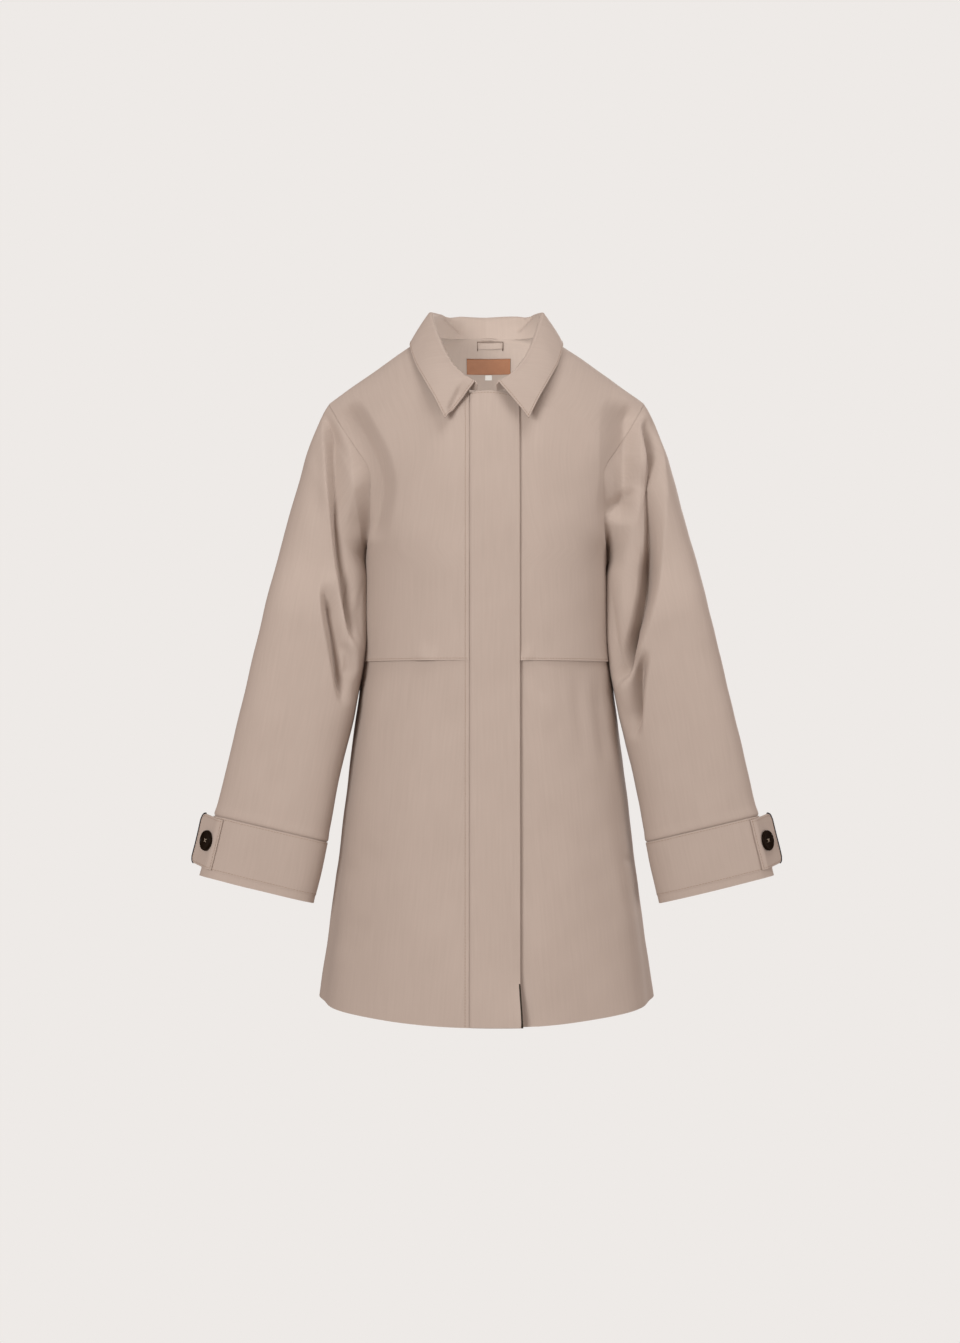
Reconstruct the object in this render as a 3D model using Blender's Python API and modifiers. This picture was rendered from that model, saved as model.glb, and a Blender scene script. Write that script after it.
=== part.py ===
"""Raincoat, filled out as on a figure, hollow and open at the neck, hem and cuffs.

Metres, Z up. The front faces -Y and the wearer's left is +X. The origin lies between the shoulders,
level with the neck points, where the coat is held. Tables are in millimetres and degrees.
"""
import math
from collections import namedtuple

import bmesh
import bpy
import numpy as np
from mathutils import Matrix, Vector

MM = 0.001
WALL = 1.5 * MM
COLLAR_WALL = 1.6 * MM
TAB_WALL = 2.0 * MM
SEAM = 0.3 * MM
HALF_SEAM = SEAM / 2
MERGE = 0.01 * MM

# Front closing: the fly placket is sewn to the right front and laps over the left one.
PLACKET_SEAM_X = 21 * MM
PLACKET_EDGE_X = 39 * MM
PLACKET_PROUD = 0.5 * MM
PLACKET_COLUMNS = 3
UNDERLAP_X = 20 * MM
FLAP_UNDERLAP_X = 28 * MM
UNDER_PLACKET_SINK = 3.4 * MM
SINK_FULL_X = 45 * MM
SINK_END_X = 85 * MM

# Mesh columns across each front and each half of the back, as shares of the way out. The last two,
# close to the outer seam, keep both sides of a seam in line.
FRONT_COLUMNS = [0, 0.11, 0.22, 0.33, 0.44, 0.56, 0.68, 0.81, 0.93, 0.98, 1]
BACK_COLUMNS = [0, 0.07, 0.14, 0.26, 0.4, 0.54, 0.68, 0.82, 0.93, 0.98, 1]
SHOULDER_STRIP = 0.06

# Storm flaps lie this far off the fronts. Their neck, armhole and side ends are column numbers of the
# fronts: sewn in near the armhole, free and further in below it.
FLAP_GAP = 0.6 * MM
FLAP_NECK_COLUMN = 0.5
FLAP_ARMHOLE_COLUMN = 8
FLAP_SIDE_COLUMN = 7.1

# Body sections. The inner end is on the centre line or the neck edge, the outer end on the side seam
# or the armhole. square: 1 is a straight section, 2 an ellipse, more is boxier. steps: mesh rows up to
# the next section. The sections run up the front, over the shoulder and down the back.
Section = namedtuple("Section", "name steps x_in y_in z_in x_out y_out z_out square")
BODY = [
    Section("front hem", 3, 0, -158, -832, 208.5, 0, -820, 2.05),
    Section("front skirt", 3, 0, -147, -690, 190, 0, -690, 2.15),
    Section("front hip", 3, 0, -138, -540, 171, 0, -540, 2.3),
    Section("flap edge", 3, 0, -131, -403, 155, 0, -405, 2.3),
    Section("front underarm", 1, 0, -130, -270, 157, 0, -270, 2.3),
    Section("front armhole start", 2, 0, -129, -250, 154, -20, -262, 2.3),
    Section("front armhole low", 2, 0, -125, -210, 146, -42, -230, 2.2),
    Section("cross front", 2, 0, -114, -150, 141, -64, -180, 2.0),
    Section("front neck", 1, 0, -90, -79, 160, -52, -143, 1.7),
    Section("front neck curve", 2, 24, -85, -75, 166, -46, -134, 1.6),
    Section("front neck side", 3, 56, -58, -44, 183, -26, -107, 1.25),
    Section("shoulder", 3, 74, 0, 3, 197, 4, -82, 1.05),
    Section("back neck side", 2, 54, 44, 9, 188, 36, -108, 1.3),
    Section("back neck curve", 1, 28, 63, 11, 179, 57, -138, 1.6),
    Section("back neck", 3, 0, 66, 12, 176, 62, -148, 1.7),
    Section("cross back", 2, 0, 103, -95, 162, 74, -190, 2.0),
    Section("back armhole low", 2, 0, 116, -190, 153, 48, -232, 2.2),
    Section("back armhole start", 1, 0, 119, -250, 155, 22, -262, 2.3),
    Section("back underarm", 3, 0, 119, -270, 157, 0, -270, 2.3),
    Section("back waist", 3, 0, 116, -403, 155, 0, -405, 2.3),
    Section("back hip", 3, 0, 124, -540, 171, 0, -540, 2.3),
    Section("back skirt", 3, 0, 135, -690, 190, 0, -690, 2.15),
    Section("back hem", 0, 0, 146, -830, 208.5, 0, -820, 2.05),
]
BODY_ROW = {section.name: number for number, section in enumerate(BODY)}

# Soft flutes of the skirt: where each stands between centre (0) and side seam (1), its half width in
# the same share, how far it stands out at the hem, and the height at which it has faded away.
Flute = namedtuple("Flute", "name front at half_width out fade_z")
FLUTES = [
    Flute("front side flute", True, 0.62, 0.14, 4, -430),
    Flute("front side hollow", True, 0.83, 0.09, -3, -450),
    Flute("back middle hollow", False, 0.18, 0.12, -4, -400),
    Flute("back flute", False, 0.45, 0.15, 5, -380),
    Flute("back side hollow", False, 0.75, 0.12, -4, -420),
]

# Sleeve sections below the armhole: centre, half sizes across and front to back, the tilt of the
# section from level, outer side up, and its pitch, front edge up. The arms hang a little forward.
SleeveSection = namedtuple("SleeveSection", "name steps x y z half_width half_depth tilt pitch")
SLEEVE = [
    SleeveSection("cap", 2, 196.5, -5, -221.5, 66, 78, 59, 0),
    SleeveSection("biceps", 2, 205.1, -28, -285.6, 52.1, 75, 20, 0),
    SleeveSection("upper", 2, 213.5, -46, -362, 61.2, 67, 13.6, 2),
    SleeveSection("elbow", 2, 227.1, -52, -449.7, 67.8, 57, 13.7, 4),
    SleeveSection("forearm", 2, 247.7, -54, -537.1, 68.1, 46, 13.9, 5),
    SleeveSection("band top", 2, 263.1, -54, -608.9, 70.3, 37, 13.4, 6),
    SleeveSection("band foot", 1, 278.4, -54, -672.9, 71.4, 33, 13.8, 6),
    SleeveSection("sleeve hem", 0, 280.6, -54, -682.1, 71.6, 32, 13.8, 6),
]
SEAM_TURN = 3 * MM
UNDERARM_ROLL = 3.5 * MM
FLARE_STEPS = 2
RINGS_BEFORE_SLEEVE = 2

# Long folds of the sleeves: from and to are places along the sleeve as ring numbers, angles run from
# the underarm (0) over the front (90) to the outer side (180).
Fold = namedtuple("Fold", "name side start end angle_start angle_end half_width depth")
SLEEVE_FOLDS = [
    Fold("right front valley", "right", 1.4, 4.6, 112, 30, 17, 9),
    Fold("right back valley", "right", 1.8, 4.3, 262, 322, 20, 6),
    Fold("left front valley", "left", 1.4, 5.0, 108, 22, 17, 10),
    Fold("left back valley", "left", 1.8, 4.6, 255, 325, 20, 6),
]

# Collar stations from the front end to the middle of the back: where each stands on the neck edge as
# a body section number, its roll line, and the free edge of its fall.
Station = namedtuple("Station", "name steps at roll_x roll_y roll_z edge_x edge_y edge_z")
COLLAR = [
    Station("front end", 2, 8.45, 11, -94, -69, 50, -113, -115),
    Station("front leaf", 2, 9.0, 27, -88, -58, 69, -101, -89),
    Station("front side", 2, 9.6, 45, -68, -34, 82, -78, -64),
    Station("neck side", 2, 10.4, 60, -36, 4, 90, -48, -37),
    Station("shoulder", 2, 11.0, 67, 0, 31, 97, -6, -7),
    Station("neck side back", 2, 12.0, 59, 38, 37, 86, 48, 2),
    Station("back side", 2, 13.0, 34, 63, 39, 50, 80, -9),
    Station("back", 0, 14.0, 0, 72, 40, 0, 88, -14),
]
COLLAR_LIFT = 0.8 * MM
ROLL_WIDTH = 7 * MM
ROLL_DROP = 4 * MM
FALL_BELLY = 1 * MM
FALL_SHARES = (0.35, 0.7, 1.0)

# Cuff tabs and buttons.
TAB_ROOT_ANGLE = 138
TAB_LIFT = 1.4 * MM
TAB_LENGTH = 39 * MM
TAB_TURN = 52
TAB_INSET = 0.04
TAB_ROWS = 3
TAB_FREE_STEPS = 2
BUTTON_RADIUS = 12.5 * MM
BUTTON_THICK = 4 * MM
BUTTON_RIM = 2.6 * MM
BUTTON_WELL = 1.4 * MM
BUTTON_SEGMENTS = 24
BUTTON_ALONG = 13.8 * MM
HOLE_RADIUS = 1.1 * MM
HOLE_OUT = 2.6 * MM
HOLE_SEGMENTS = 8

# What lies inside the back neck.
INSIDE_GAP = 0.8 * MM
LABEL = {"x": 3 * MM, "width": 57 * MM, "top": -13 * MM, "foot": -36.4 * MM, "thick": 1.2 * MM}
SIZE_TAB = {"x": 3 * MM, "width": 9 * MM, "top": -37 * MM, "foot": -44.5 * MM, "thick": 1.0 * MM}
LOOP = {"x": 5 * MM, "width": 34 * MM, "top": 7 * MM, "foot": 0 * MM, "thick": 1.2 * MM}
LOOP_STAND = 4 * MM
HALVINGS = 40
STEP_DOWN = 0.05

# Colours, linear, with roughness.
CLOTH = ((0.495, 0.395, 0.325), 0.85)
LEATHER = ((0.42, 0.19, 0.10), 0.55)
TAPE = ((0.85, 0.83, 0.79), 0.8)
HORN = ((0.022, 0.016, 0.014), 0.35)


def smooth(values, at):
    """The value at a fractional row of a table, eased between rows and never past them."""
    values = np.asarray(values, float)
    step = np.diff(values, axis=0)
    slope = np.zeros_like(values)
    before, after = step[:-1], step[1:]
    total = np.where(before * after > 0, before + after, 1.0)
    slope[1:-1] = np.where(before * after > 0, 2 * before * after / total, 0.0)
    slope[0], slope[-1] = step[0], step[-1]
    row = min(int(at), len(step) - 1)
    u = at - row
    start = values[row] * (1 + 2 * u) * (1 - u) ** 2 + slope[row] * u * (1 - u) ** 2
    end = values[row + 1] * u * u * (3 - 2 * u) - slope[row + 1] * u * u * (1 - u)
    return start + end


def unit(vectors):
    """Vectors made one long."""
    return vectors / np.linalg.norm(vectors, axis=-1, keepdims=True)


def ease(value, low, high):
    """0 below low, 1 above high, eased between."""
    share = np.clip((value - low) / (high - low), 0, 1)
    return share * share * (3 - 2 * share)


def row_numbers(table, first, last):
    """Fractional row numbers from one table row to another, with each row's steps between."""
    numbers = []
    for row in range(first, last):
        numbers += [row + step / table[row].steps for step in range(table[row].steps)]
    return numbers + [float(last)]


BODY_SIZES = np.array([section[2:] for section in BODY], float)
BODY_SIZES[:, :6] *= MM


def flute_out(at, share, z):
    """How far the skirt's flutes move the cloth out here."""
    out = 0.0
    front = at < BODY_ROW["shoulder"]
    for flute in FLUTES:
        if flute.front == front:
            grow = ease(flute.fade_z * MM - z, 0, flute.fade_z * MM - BODY_SIZES[0, 2])
            out += flute.out * MM * grow * math.exp(-(((share - flute.at) / flute.half_width) ** 2))
    return out


def body_point(at, share):
    """The coat's outer face: at is a body section number, share 0 at the inner end and 1 at the outer.

    A negative share lies past the centre line.
    """
    x_in, y_in, z_in, x_out, y_out, z_out, square = smooth(BODY_SIZES, at)
    angle = min(abs(share), 1) * math.pi / 2
    size = (math.sin(angle) ** square + math.cos(angle) ** square) ** (1 / square)
    out, ahead = math.sin(angle) / size, math.cos(angle) / size
    x = x_in + (x_out - x_in) * out
    y = y_out + (y_in - y_out) * ahead
    z = z_in + (z_out - z_in) * out**square
    grow = 1 + flute_out(at, abs(share), z) / max(math.hypot(x, y), MM)
    return np.array([math.copysign(x, share) * grow, y * grow, z])


def share_at(at, x):
    """The share of a section that lies x out from the centre plane, 0 where the neck edge is further out."""
    sizes = smooth(BODY_SIZES, at)
    x_in, x_out, square = sizes[0], sizes[3], sizes[6]
    if x <= x_in:
        return 0.0
    out = (x - x_in) / (x_out - x_in)
    return math.atan2(out, (1 - out**square) ** (1 / square)) / (math.pi / 2)


def trim(line, inner):
    """An edge pulled back from its seam by half the seam's width, towards the next line of points."""
    return line + unit(inner - line) * HALF_SEAM


def trimmed(grid, neck_rows, seam_first_column, shoulder_row):
    """A panel's grid with its seam edges pulled back: outer column, neck edge, shoulder row."""
    grid = grid.copy()
    grid[:, -1] = trim(grid[:, -1], grid[:, -2])
    pulled = slice(None) if seam_first_column else neck_rows
    grid[pulled, 0] = trim(grid[pulled, 0], grid[pulled, 1])
    inner = 1 if shoulder_row == 0 else shoulder_row - 1
    grid[shoulder_row] = trim(grid[shoulder_row], grid[inner])
    return grid


def grid_normals(grid, ring=False):
    """Outward normals of a grid whose columns run out from the centre and whose rows run along t."""
    if ring:
        across = np.roll(grid, -1, axis=1) - np.roll(grid, 1, axis=1)
    else:
        across = np.gradient(grid, axis=1)
    return unit(np.cross(across, np.gradient(grid, axis=0)))


def between(row, column):
    """The point at a fractional column number of a row of points."""
    low = min(int(column), len(row) - 2)
    part = column - low
    return row[low] * (1 - part) + row[low + 1] * part


def mirrored(grid):
    """The same grid on the wearer's right."""
    return grid * np.array([-1, 1, 1])


def add_material(name, look):
    """A material for one node."""
    colour, roughness = look
    material = bpy.data.materials.new(name)
    material.use_nodes = True
    shader = material.node_tree.nodes["Principled BSDF"]
    shader.inputs["Base Color"].default_value = (*colour, 1)
    shader.inputs["Roughness"].default_value = roughness
    shader.inputs["Metallic"].default_value = 0
    return material


def add_object(name, mesh, look):
    """A named node of the coat."""
    node = bpy.data.objects.new(name, mesh)
    mesh.materials.append(add_material(name, look))
    coat.objects.link(node)
    return node


def add_piece(name, grids, wall, look, ring=False, centred=False):
    """A sewn piece: open grids of points joined at shared edges, then given their wall by Solidify."""
    points, faces = [], []
    for grid, turned in grids:
        rows, columns = grid.shape[:2]
        first = len(points)
        points += [tuple(point) for point in grid.reshape(-1, 3)]
        for row in range(rows - 1):
            for column in range(columns if ring else columns - 1):
                beside = (column + 1) % columns
                low, high = first + row * columns, first + (row + 1) * columns
                face = [low + column, low + beside, high + beside, high + column]
                faces.append(face[::-1] if turned else face)
    mesh = bpy.data.meshes.new(name)
    mesh.from_pydata(points, [], faces)
    shape = bmesh.new()
    shape.from_mesh(mesh)
    bmesh.ops.remove_doubles(shape, verts=shape.verts, dist=MERGE)
    shape.to_mesh(mesh)
    shape.free()
    mesh.shade_smooth()
    node = add_object(name, mesh, look)
    solid = node.modifiers.new("wall", "SOLIDIFY")
    solid.thickness = wall
    solid.offset = 0 if centred else -1
    return node


def front_panel(inner_x):
    """Grid of a front on the wearer's left side, hem to shoulder, from inner_x at the centre."""
    grid = []
    numbers = row_numbers(BODY, 0, BODY_ROW["shoulder"])
    for at in numbers[:-1] + [numbers[-1] - SHOULDER_STRIP, numbers[-1]]:
        if inner_x >= 0:
            first = share_at(at, inner_x)
        else:
            first = -share_at(at, -inner_x) if at <= BODY_ROW["front neck"] else 0.0
        grid.append([body_point(at, first + (1 - first) * share) for share in FRONT_COLUMNS])
    return np.array(grid)


def sunk(grid):
    """A front's grid let in at the centre, to lie under the placket."""
    depth = UNDER_PLACKET_SINK * (1 - ease(grid[..., :1], SINK_FULL_X, SINK_END_X))
    return grid - grid_normals(grid) * depth


def flap_on(grid, stops, underarm_row, edge_row):
    """Storm flap: the front's own points from the flap edge up, moved out; stops are its inner columns."""
    lifted = grid + grid_normals(grid) * (FLAP_GAP + WALL)
    flap = lifted[edge_row:-1, : FLAP_ARMHOLE_COLUMN + 1].copy()
    for number, row in enumerate(flap):
        whole = lifted[edge_row + number]
        inner = stops[edge_row + number]
        row[0] = between(whole, inner)
        if inner > 1:
            row[1] = (row[0] + row[2]) / 2
        if edge_row + number <= underarm_row:
            row[-1] = between(whole, FLAP_SIDE_COLUMN)
    return flap


def back_half():
    """Grid of half the back, shoulder to hem."""
    numbers = row_numbers(BODY, BODY_ROW["shoulder"], BODY_ROW["back hem"])
    numbers.insert(1, numbers[0] + SHOULDER_STRIP)
    return np.array([[body_point(at, share) for share in BACK_COLUMNS] for at in numbers])


def placket_grid():
    """Fly placket over the centre, from the hem to the neck edge."""
    left, right = -PLACKET_SEAM_X + SEAM, PLACKET_EDGE_X
    grid = []
    for at in row_numbers(BODY, 0, BODY_ROW["front neck"]):
        row = []
        for column in range(PLACKET_COLUMNS + 1):
            x = left + (right - left) * column / PLACKET_COLUMNS
            row.append(body_point(at, math.copysign(share_at(at, abs(x)), x)))
        grid.append(row)
    grid = np.array(grid)
    return grid + grid_normals(grid) * PLACKET_PROUD


def sleeve_ring(section, angles):
    """Points round one sleeve section at angles from the underarm over the front."""
    tilt = math.radians(section.tilt)
    outward = np.array([math.cos(tilt), 0, math.sin(tilt)])
    pitch = math.radians(section.pitch)
    forward = np.array([0, -math.cos(pitch), math.sin(pitch)])
    centre = np.array([section.x, section.y, section.z])
    across = -np.cos(angles)[:, None] * section.half_width * outward
    return (centre + across + np.sin(angles)[:, None] * section.half_depth * forward) * MM


def armhole(front, back):
    """Armhole edge of the body with its outward normals and its direction on into the sleeve.

    The loop starts at the underarm and runs up the front, over the shoulder and down the back.
    """
    under = sum(BODY[row].steps for row in range(BODY_ROW["front underarm"]))
    down = sum(BODY[row].steps for row in range(BODY_ROW["shoulder"], BODY_ROW["back underarm"])) + 1
    points = np.concatenate([front[under:, -1], back[1:down, -1]])
    inner = np.concatenate([front[under:, -2], back[1:down, -2]])
    along = np.roll(points, -1, axis=0) - np.roll(points, 1, axis=0)
    normals = unit(np.cross(points - inner, along))
    normals[0] = (1, 0, 0)
    shoulder = len(front) - 1 - under
    lengths = np.linalg.norm(np.roll(points, -1, axis=0) - points, axis=1)
    up, over = np.cumsum(lengths[:shoulder]), np.cumsum(lengths[shoulder:])
    angles = np.concatenate([[0], math.pi * up / up[-1], math.pi * (1 + over[:-1] / over[-1])])
    return points, normals, unit(np.cross(along, normals)), angles


def sleeve_grid(front, back, side):
    """Rings of a sleeve from the armhole to the hem, with its long folds."""
    points, normals, onward, angles = armhole(front, back)
    rings = [sleeve_ring(section, angles) for section in SLEEVE]
    toward = unit(rings[0] - points)
    back_on_itself = np.clip(-np.sum(onward * toward, axis=1, keepdims=True), 0, 1)
    first = points + onward * SEAM
    second = first + onward * SEAM_TURN + normals * UNDERARM_ROLL * back_on_itself
    rings = [first, second] + rings
    numbers = [0.0] + [1 + step / FLARE_STEPS for step in range(FLARE_STEPS)]
    numbers += [row + RINGS_BEFORE_SLEEVE for row in row_numbers(SLEEVE, 0, len(SLEEVE) - 1)]
    grid = np.array([smooth(rings, number) for number in numbers])
    centres = grid.mean(axis=1, keepdims=True)
    for fold in SLEEVE_FOLDS:
        if fold.side != side:
            continue
        for row, number in enumerate(numbers):
            share = (number - fold.start) / (fold.end - fold.start)
            if not 0 < share < 1:
                continue
            angle = fold.angle_start + (fold.angle_end - fold.angle_start) * share
            offset = (np.degrees(angles) - angle) / fold.half_width
            depth = fold.depth * MM * math.sin(math.pi * share) * np.exp(-(offset**2))
            grid[row] -= unit(grid[row] - centres[row]) * depth[:, None]
    return grid, numbers, angles


def cuff_rows(numbers):
    """First and last mesh rows of the cuff band on a sleeve's grid."""
    top = [section.name for section in SLEEVE].index("band top") + RINGS_BEFORE_SLEEVE
    return numbers.index(float(top)), numbers.index(float(top + 1))


def ring_lifted(grid, lift):
    """A sleeve's rings moved out."""
    normals = -grid_normals(grid, ring=True)
    return grid + normals * lift


def tab_grid(band, angles):
    """Cuff tab: sewn on the cuff band at its root, then straight on, standing off the sleeve."""
    first = int(np.argmin(np.abs(angles - math.radians(TAB_ROOT_ANGLE))))
    shares = np.linspace(TAB_INSET, 1 - TAB_INSET, TAB_ROWS + 1)
    rows = np.array([smooth(band, share * (len(band) - 1)) for share in shares])
    tilt = math.radians(SLEEVE[-1].tilt)
    turn = math.radians(TAB_TURN)
    on = np.array([math.cos(turn) * math.cos(tilt), math.sin(turn), math.cos(turn) * math.sin(tilt)])
    off = np.array([math.sin(turn) * math.cos(tilt), -math.cos(turn), math.sin(turn) * math.sin(tilt)])
    bend = rows[:, first + 1] + off * TAB_LIFT
    free = [bend + on * TAB_LENGTH * step / TAB_FREE_STEPS for step in range(1, TAB_FREE_STEPS + 1)]
    return np.stack([rows[:, first], bend] + free, axis=1), on


def collar_grid():
    """Collar: stand up from the neck edge, roll, and fall, from one front end round to the other."""
    table = np.array([station[2:] for station in COLLAR], float)
    table[:, 1:] *= MM
    half = []
    for number in row_numbers(COLLAR, 0, len(COLLAR) - 1):
        at, *places = smooth(table, number)
        roll, edge = np.array(places[:3]), np.array(places[3:])
        seam = body_point(at, 0.0) + np.array([0, 0, COLLAR_LIFT])
        out = unit((edge - roll) * np.array([1, 1, 0]))
        down = np.array([0, 0, ROLL_DROP])
        over = roll + out * ROLL_WIDTH - down
        path = [seam, (seam + roll - down) / 2, roll - down, roll + out * ROLL_WIDTH / 2, over]
        for share in FALL_SHARES:
            belly = FALL_BELLY * math.sin(math.pi * share)
            path.append(over + (edge - over) * share + out * belly)
        half.append(path)
    half = np.array(half)
    return np.concatenate([mirrored(half)[:-1], half[::-1]]).transpose(1, 0, 2)


def inside_back(x, z):
    """A point on the inside of the back's wall near the neck, and the direction into the coat there."""
    low, high = float(BODY_ROW["back neck"]), float(BODY_ROW["cross back"])
    for _ in range(HALVINGS):
        middle = (low + high) / 2
        point = body_point(middle, share_at(middle, abs(x)))
        low, high = (middle, high) if point[2] > z else (low, middle)
    below = body_point(middle + STEP_DOWN, share_at(middle + STEP_DOWN, abs(x)))
    beside = body_point(middle, share_at(middle, abs(x) + MM))
    inward = unit(np.cross(below - point, beside - point))
    sign = np.array([math.copysign(1, x), 1, 1])
    return point * sign + inward * sign * WALL, inward * sign


def inside_patch(size, columns, stand=0.0):
    """Grid of a flat piece on the inside of the back; its middle stands off by stand."""
    grid = []
    for z in np.linspace(size["foot"], size["top"], 3):
        row = []
        for column in range(columns + 1):
            share = column / columns
            point, inward = inside_back(size["x"] + size["width"] * (share - 0.5), z)
            off = INSIDE_GAP + stand * math.sin(math.pi * share) ** 0.5
            row.append(point + inward * off)
        grid.append(row)
    return np.array(grid)


def add_button(name, place, axis, up):
    """Four-hole coat button turned about its axis, with a rim and a sunk middle."""
    profile = [
        (0, 0),
        (BUTTON_RADIUS - MM, 0),
        (BUTTON_RADIUS, MM),
        (BUTTON_RADIUS, BUTTON_THICK - MM),
        (BUTTON_RADIUS - MM, BUTTON_THICK),
        (BUTTON_RADIUS - BUTTON_RIM, BUTTON_THICK),
        (BUTTON_RADIUS - BUTTON_RIM - MM, BUTTON_THICK - BUTTON_WELL),
        (0, BUTTON_THICK - BUTTON_WELL),
    ]
    mesh = bpy.data.meshes.new(name)
    edges = [(point, point + 1) for point in range(len(profile) - 1)]
    mesh.from_pydata([(radius, 0, height) for radius, height in profile], edges, [])
    node = add_object(name, mesh, HORN)
    turn = node.modifiers.new("turned", "SCREW")
    turn.steps = turn.render_steps = BUTTON_SEGMENTS
    turn.use_merge_vertices = True
    turn.merge_threshold = 0.0001
    holes = bmesh.new()
    for quarter in range(4):
        angle = math.pi * (quarter + 0.5) / 2
        spot = Vector((HOLE_OUT * math.cos(angle), HOLE_OUT * math.sin(angle), BUTTON_THICK / 2))
        bmesh.ops.create_cone(
            holes,
            cap_ends=True,
            segments=HOLE_SEGMENTS,
            radius1=HOLE_RADIUS,
            radius2=HOLE_RADIUS,
            depth=3 * BUTTON_THICK,
            matrix=Matrix.Translation(spot),
        )
    cutter_mesh = bpy.data.meshes.new(name + "_holes")
    holes.to_mesh(cutter_mesh)
    holes.free()
    cutter = bpy.data.objects.new(name + "_holes", cutter_mesh)
    cutters.objects.link(cutter)
    cutter.hide_render = True
    cutter.display_type = "WIRE"
    cut = node.modifiers.new("holes", "BOOLEAN")
    cut.operation = "DIFFERENCE"
    cut.solver = "EXACT"
    cut.object = cutter
    side = np.cross(up, axis)
    frame = Matrix((side, up, axis)).transposed().to_4x4()
    node.matrix_world = Matrix.Translation(Vector(place)) @ frame
    cutter.matrix_world = node.matrix_world
    return node


for old in list(bpy.data.objects):
    bpy.data.objects.remove(old, do_unlink=True)
coat = bpy.data.collections.new("raincoat")
cutters = bpy.data.collections.new("cutters")
bpy.context.scene.collection.children.link(coat)
bpy.context.scene.collection.children.link(cutters)
cutters.hide_render = True

# Fronts, with the left one let in under the placket.
neck_first = sum(BODY[row].steps for row in range(BODY_ROW["front neck"])) + 1
flap_first = sum(BODY[row].steps for row in range(BODY_ROW["flap edge"]))
underarm = sum(BODY[row].steps for row in range(BODY_ROW["front underarm"]))
right_front = front_panel(PLACKET_SEAM_X)
left_front = sunk(front_panel(-UNDERLAP_X))
neck_rows = slice(neck_first, None)
right_cut = trimmed(right_front, neck_rows, True, len(right_front) - 1)
left_cut = trimmed(left_front, neck_rows, False, len(left_front) - 1)
add_piece("front_panel_right", [(mirrored(right_cut), True)], WALL, CLOTH)
add_piece("front_panel_left", [(left_cut, False)], WALL, CLOTH)

# Storm flaps on the fronts' own points; the left one starts under the placket.
right_stops = [FLAP_NECK_COLUMN if row >= neck_first else 0.0 for row in range(len(right_front))]
left_stops = []
for row, points in enumerate(left_front):
    if row >= neck_first:
        left_stops.append(FLAP_NECK_COLUMN)
    else:
        left_stops.append(float(np.interp(FLAP_UNDERLAP_X, points[:, 0], range(len(points)))))
right_flap = flap_on(right_front, right_stops, underarm, flap_first)
left_flap = flap_on(left_front, left_stops, underarm, flap_first)
add_piece("storm_flap_right", [(mirrored(right_flap), True)], WALL, CLOTH)
add_piece("storm_flap_left", [(left_flap, False)], WALL, CLOTH)

add_piece("fly_placket", [(placket_grid(), False)], WALL, CLOTH)

# Back, cut in one: its halves join on the centre line.
half_back = back_half()
neck_steps = sum(BODY[row].steps for row in range(BODY_ROW["shoulder"], BODY_ROW["back neck"])) + 1
back_neck_rows = slice(0, neck_steps)
cut_back = trimmed(half_back, back_neck_rows, False, 0)
add_piece("back_panel", [(cut_back, False), (mirrored(cut_back), True)], WALL, CLOTH)

# Sleeves with their cuff bands, tabs and buttons.
plain_front = front_panel(-UNDERLAP_X)
for side in ("right", "left"):
    tube, ring_numbers, ring_angles = sleeve_grid(plain_front, half_back, side)
    top, foot = cuff_rows(ring_numbers)
    band = ring_lifted(tube, SEAM + WALL)[top : foot + 1]
    over_band = ring_lifted(tube, SEAM + WALL + SEAM + TAB_WALL)[top : foot + 1]
    tab, tab_on = tab_grid(over_band, ring_angles)
    spot = tab[:, 1].mean(axis=0) + tab_on * BUTTON_ALONG
    up = unit(tab[0, 1] - tab[-1, 1])
    if side == "right":
        tube, band, tab, spot, up = (mirrored(item) for item in (tube, band, tab, spot, up))
        tab_on = mirrored(tab_on)
    flip = side == "left"
    add_piece(f"sleeve_{side}", [(tube, flip)], WALL, CLOTH, ring=True)
    add_piece(f"cuff_band_{side}", [(band, flip)], WALL, CLOTH, ring=True)
    add_piece(f"cuff_tab_{side}", [(tab, flip)], TAB_WALL, CLOTH)
    face = unit(np.cross(up, tab_on))
    face = face if face[1] < 0 else -face
    add_button(f"cuff_button_{side}", spot + face * SEAM, face, up - face * np.dot(up, face))

add_piece("collar", [(collar_grid(), False)], COLLAR_WALL, CLOTH, centred=True)

# Inside the back neck.
add_piece("neck_label", [(inside_patch(LABEL, 6), True)], LABEL["thick"], LEATHER)
add_piece("size_tab", [(inside_patch(SIZE_TAB, 2), True)], SIZE_TAB["thick"], TAPE)
add_piece("hanger_loop", [(inside_patch(LOOP, 6, LOOP_STAND), True)], LOOP["thick"], CLOTH)
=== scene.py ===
"""A-line raincoat as worn: cloth shells, stitching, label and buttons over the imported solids.

Metres, Z up. The front faces -Y and the wearer's left is +X. Tables are in millimetres and degrees.
"""
import math
from collections import Counter, namedtuple

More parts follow.
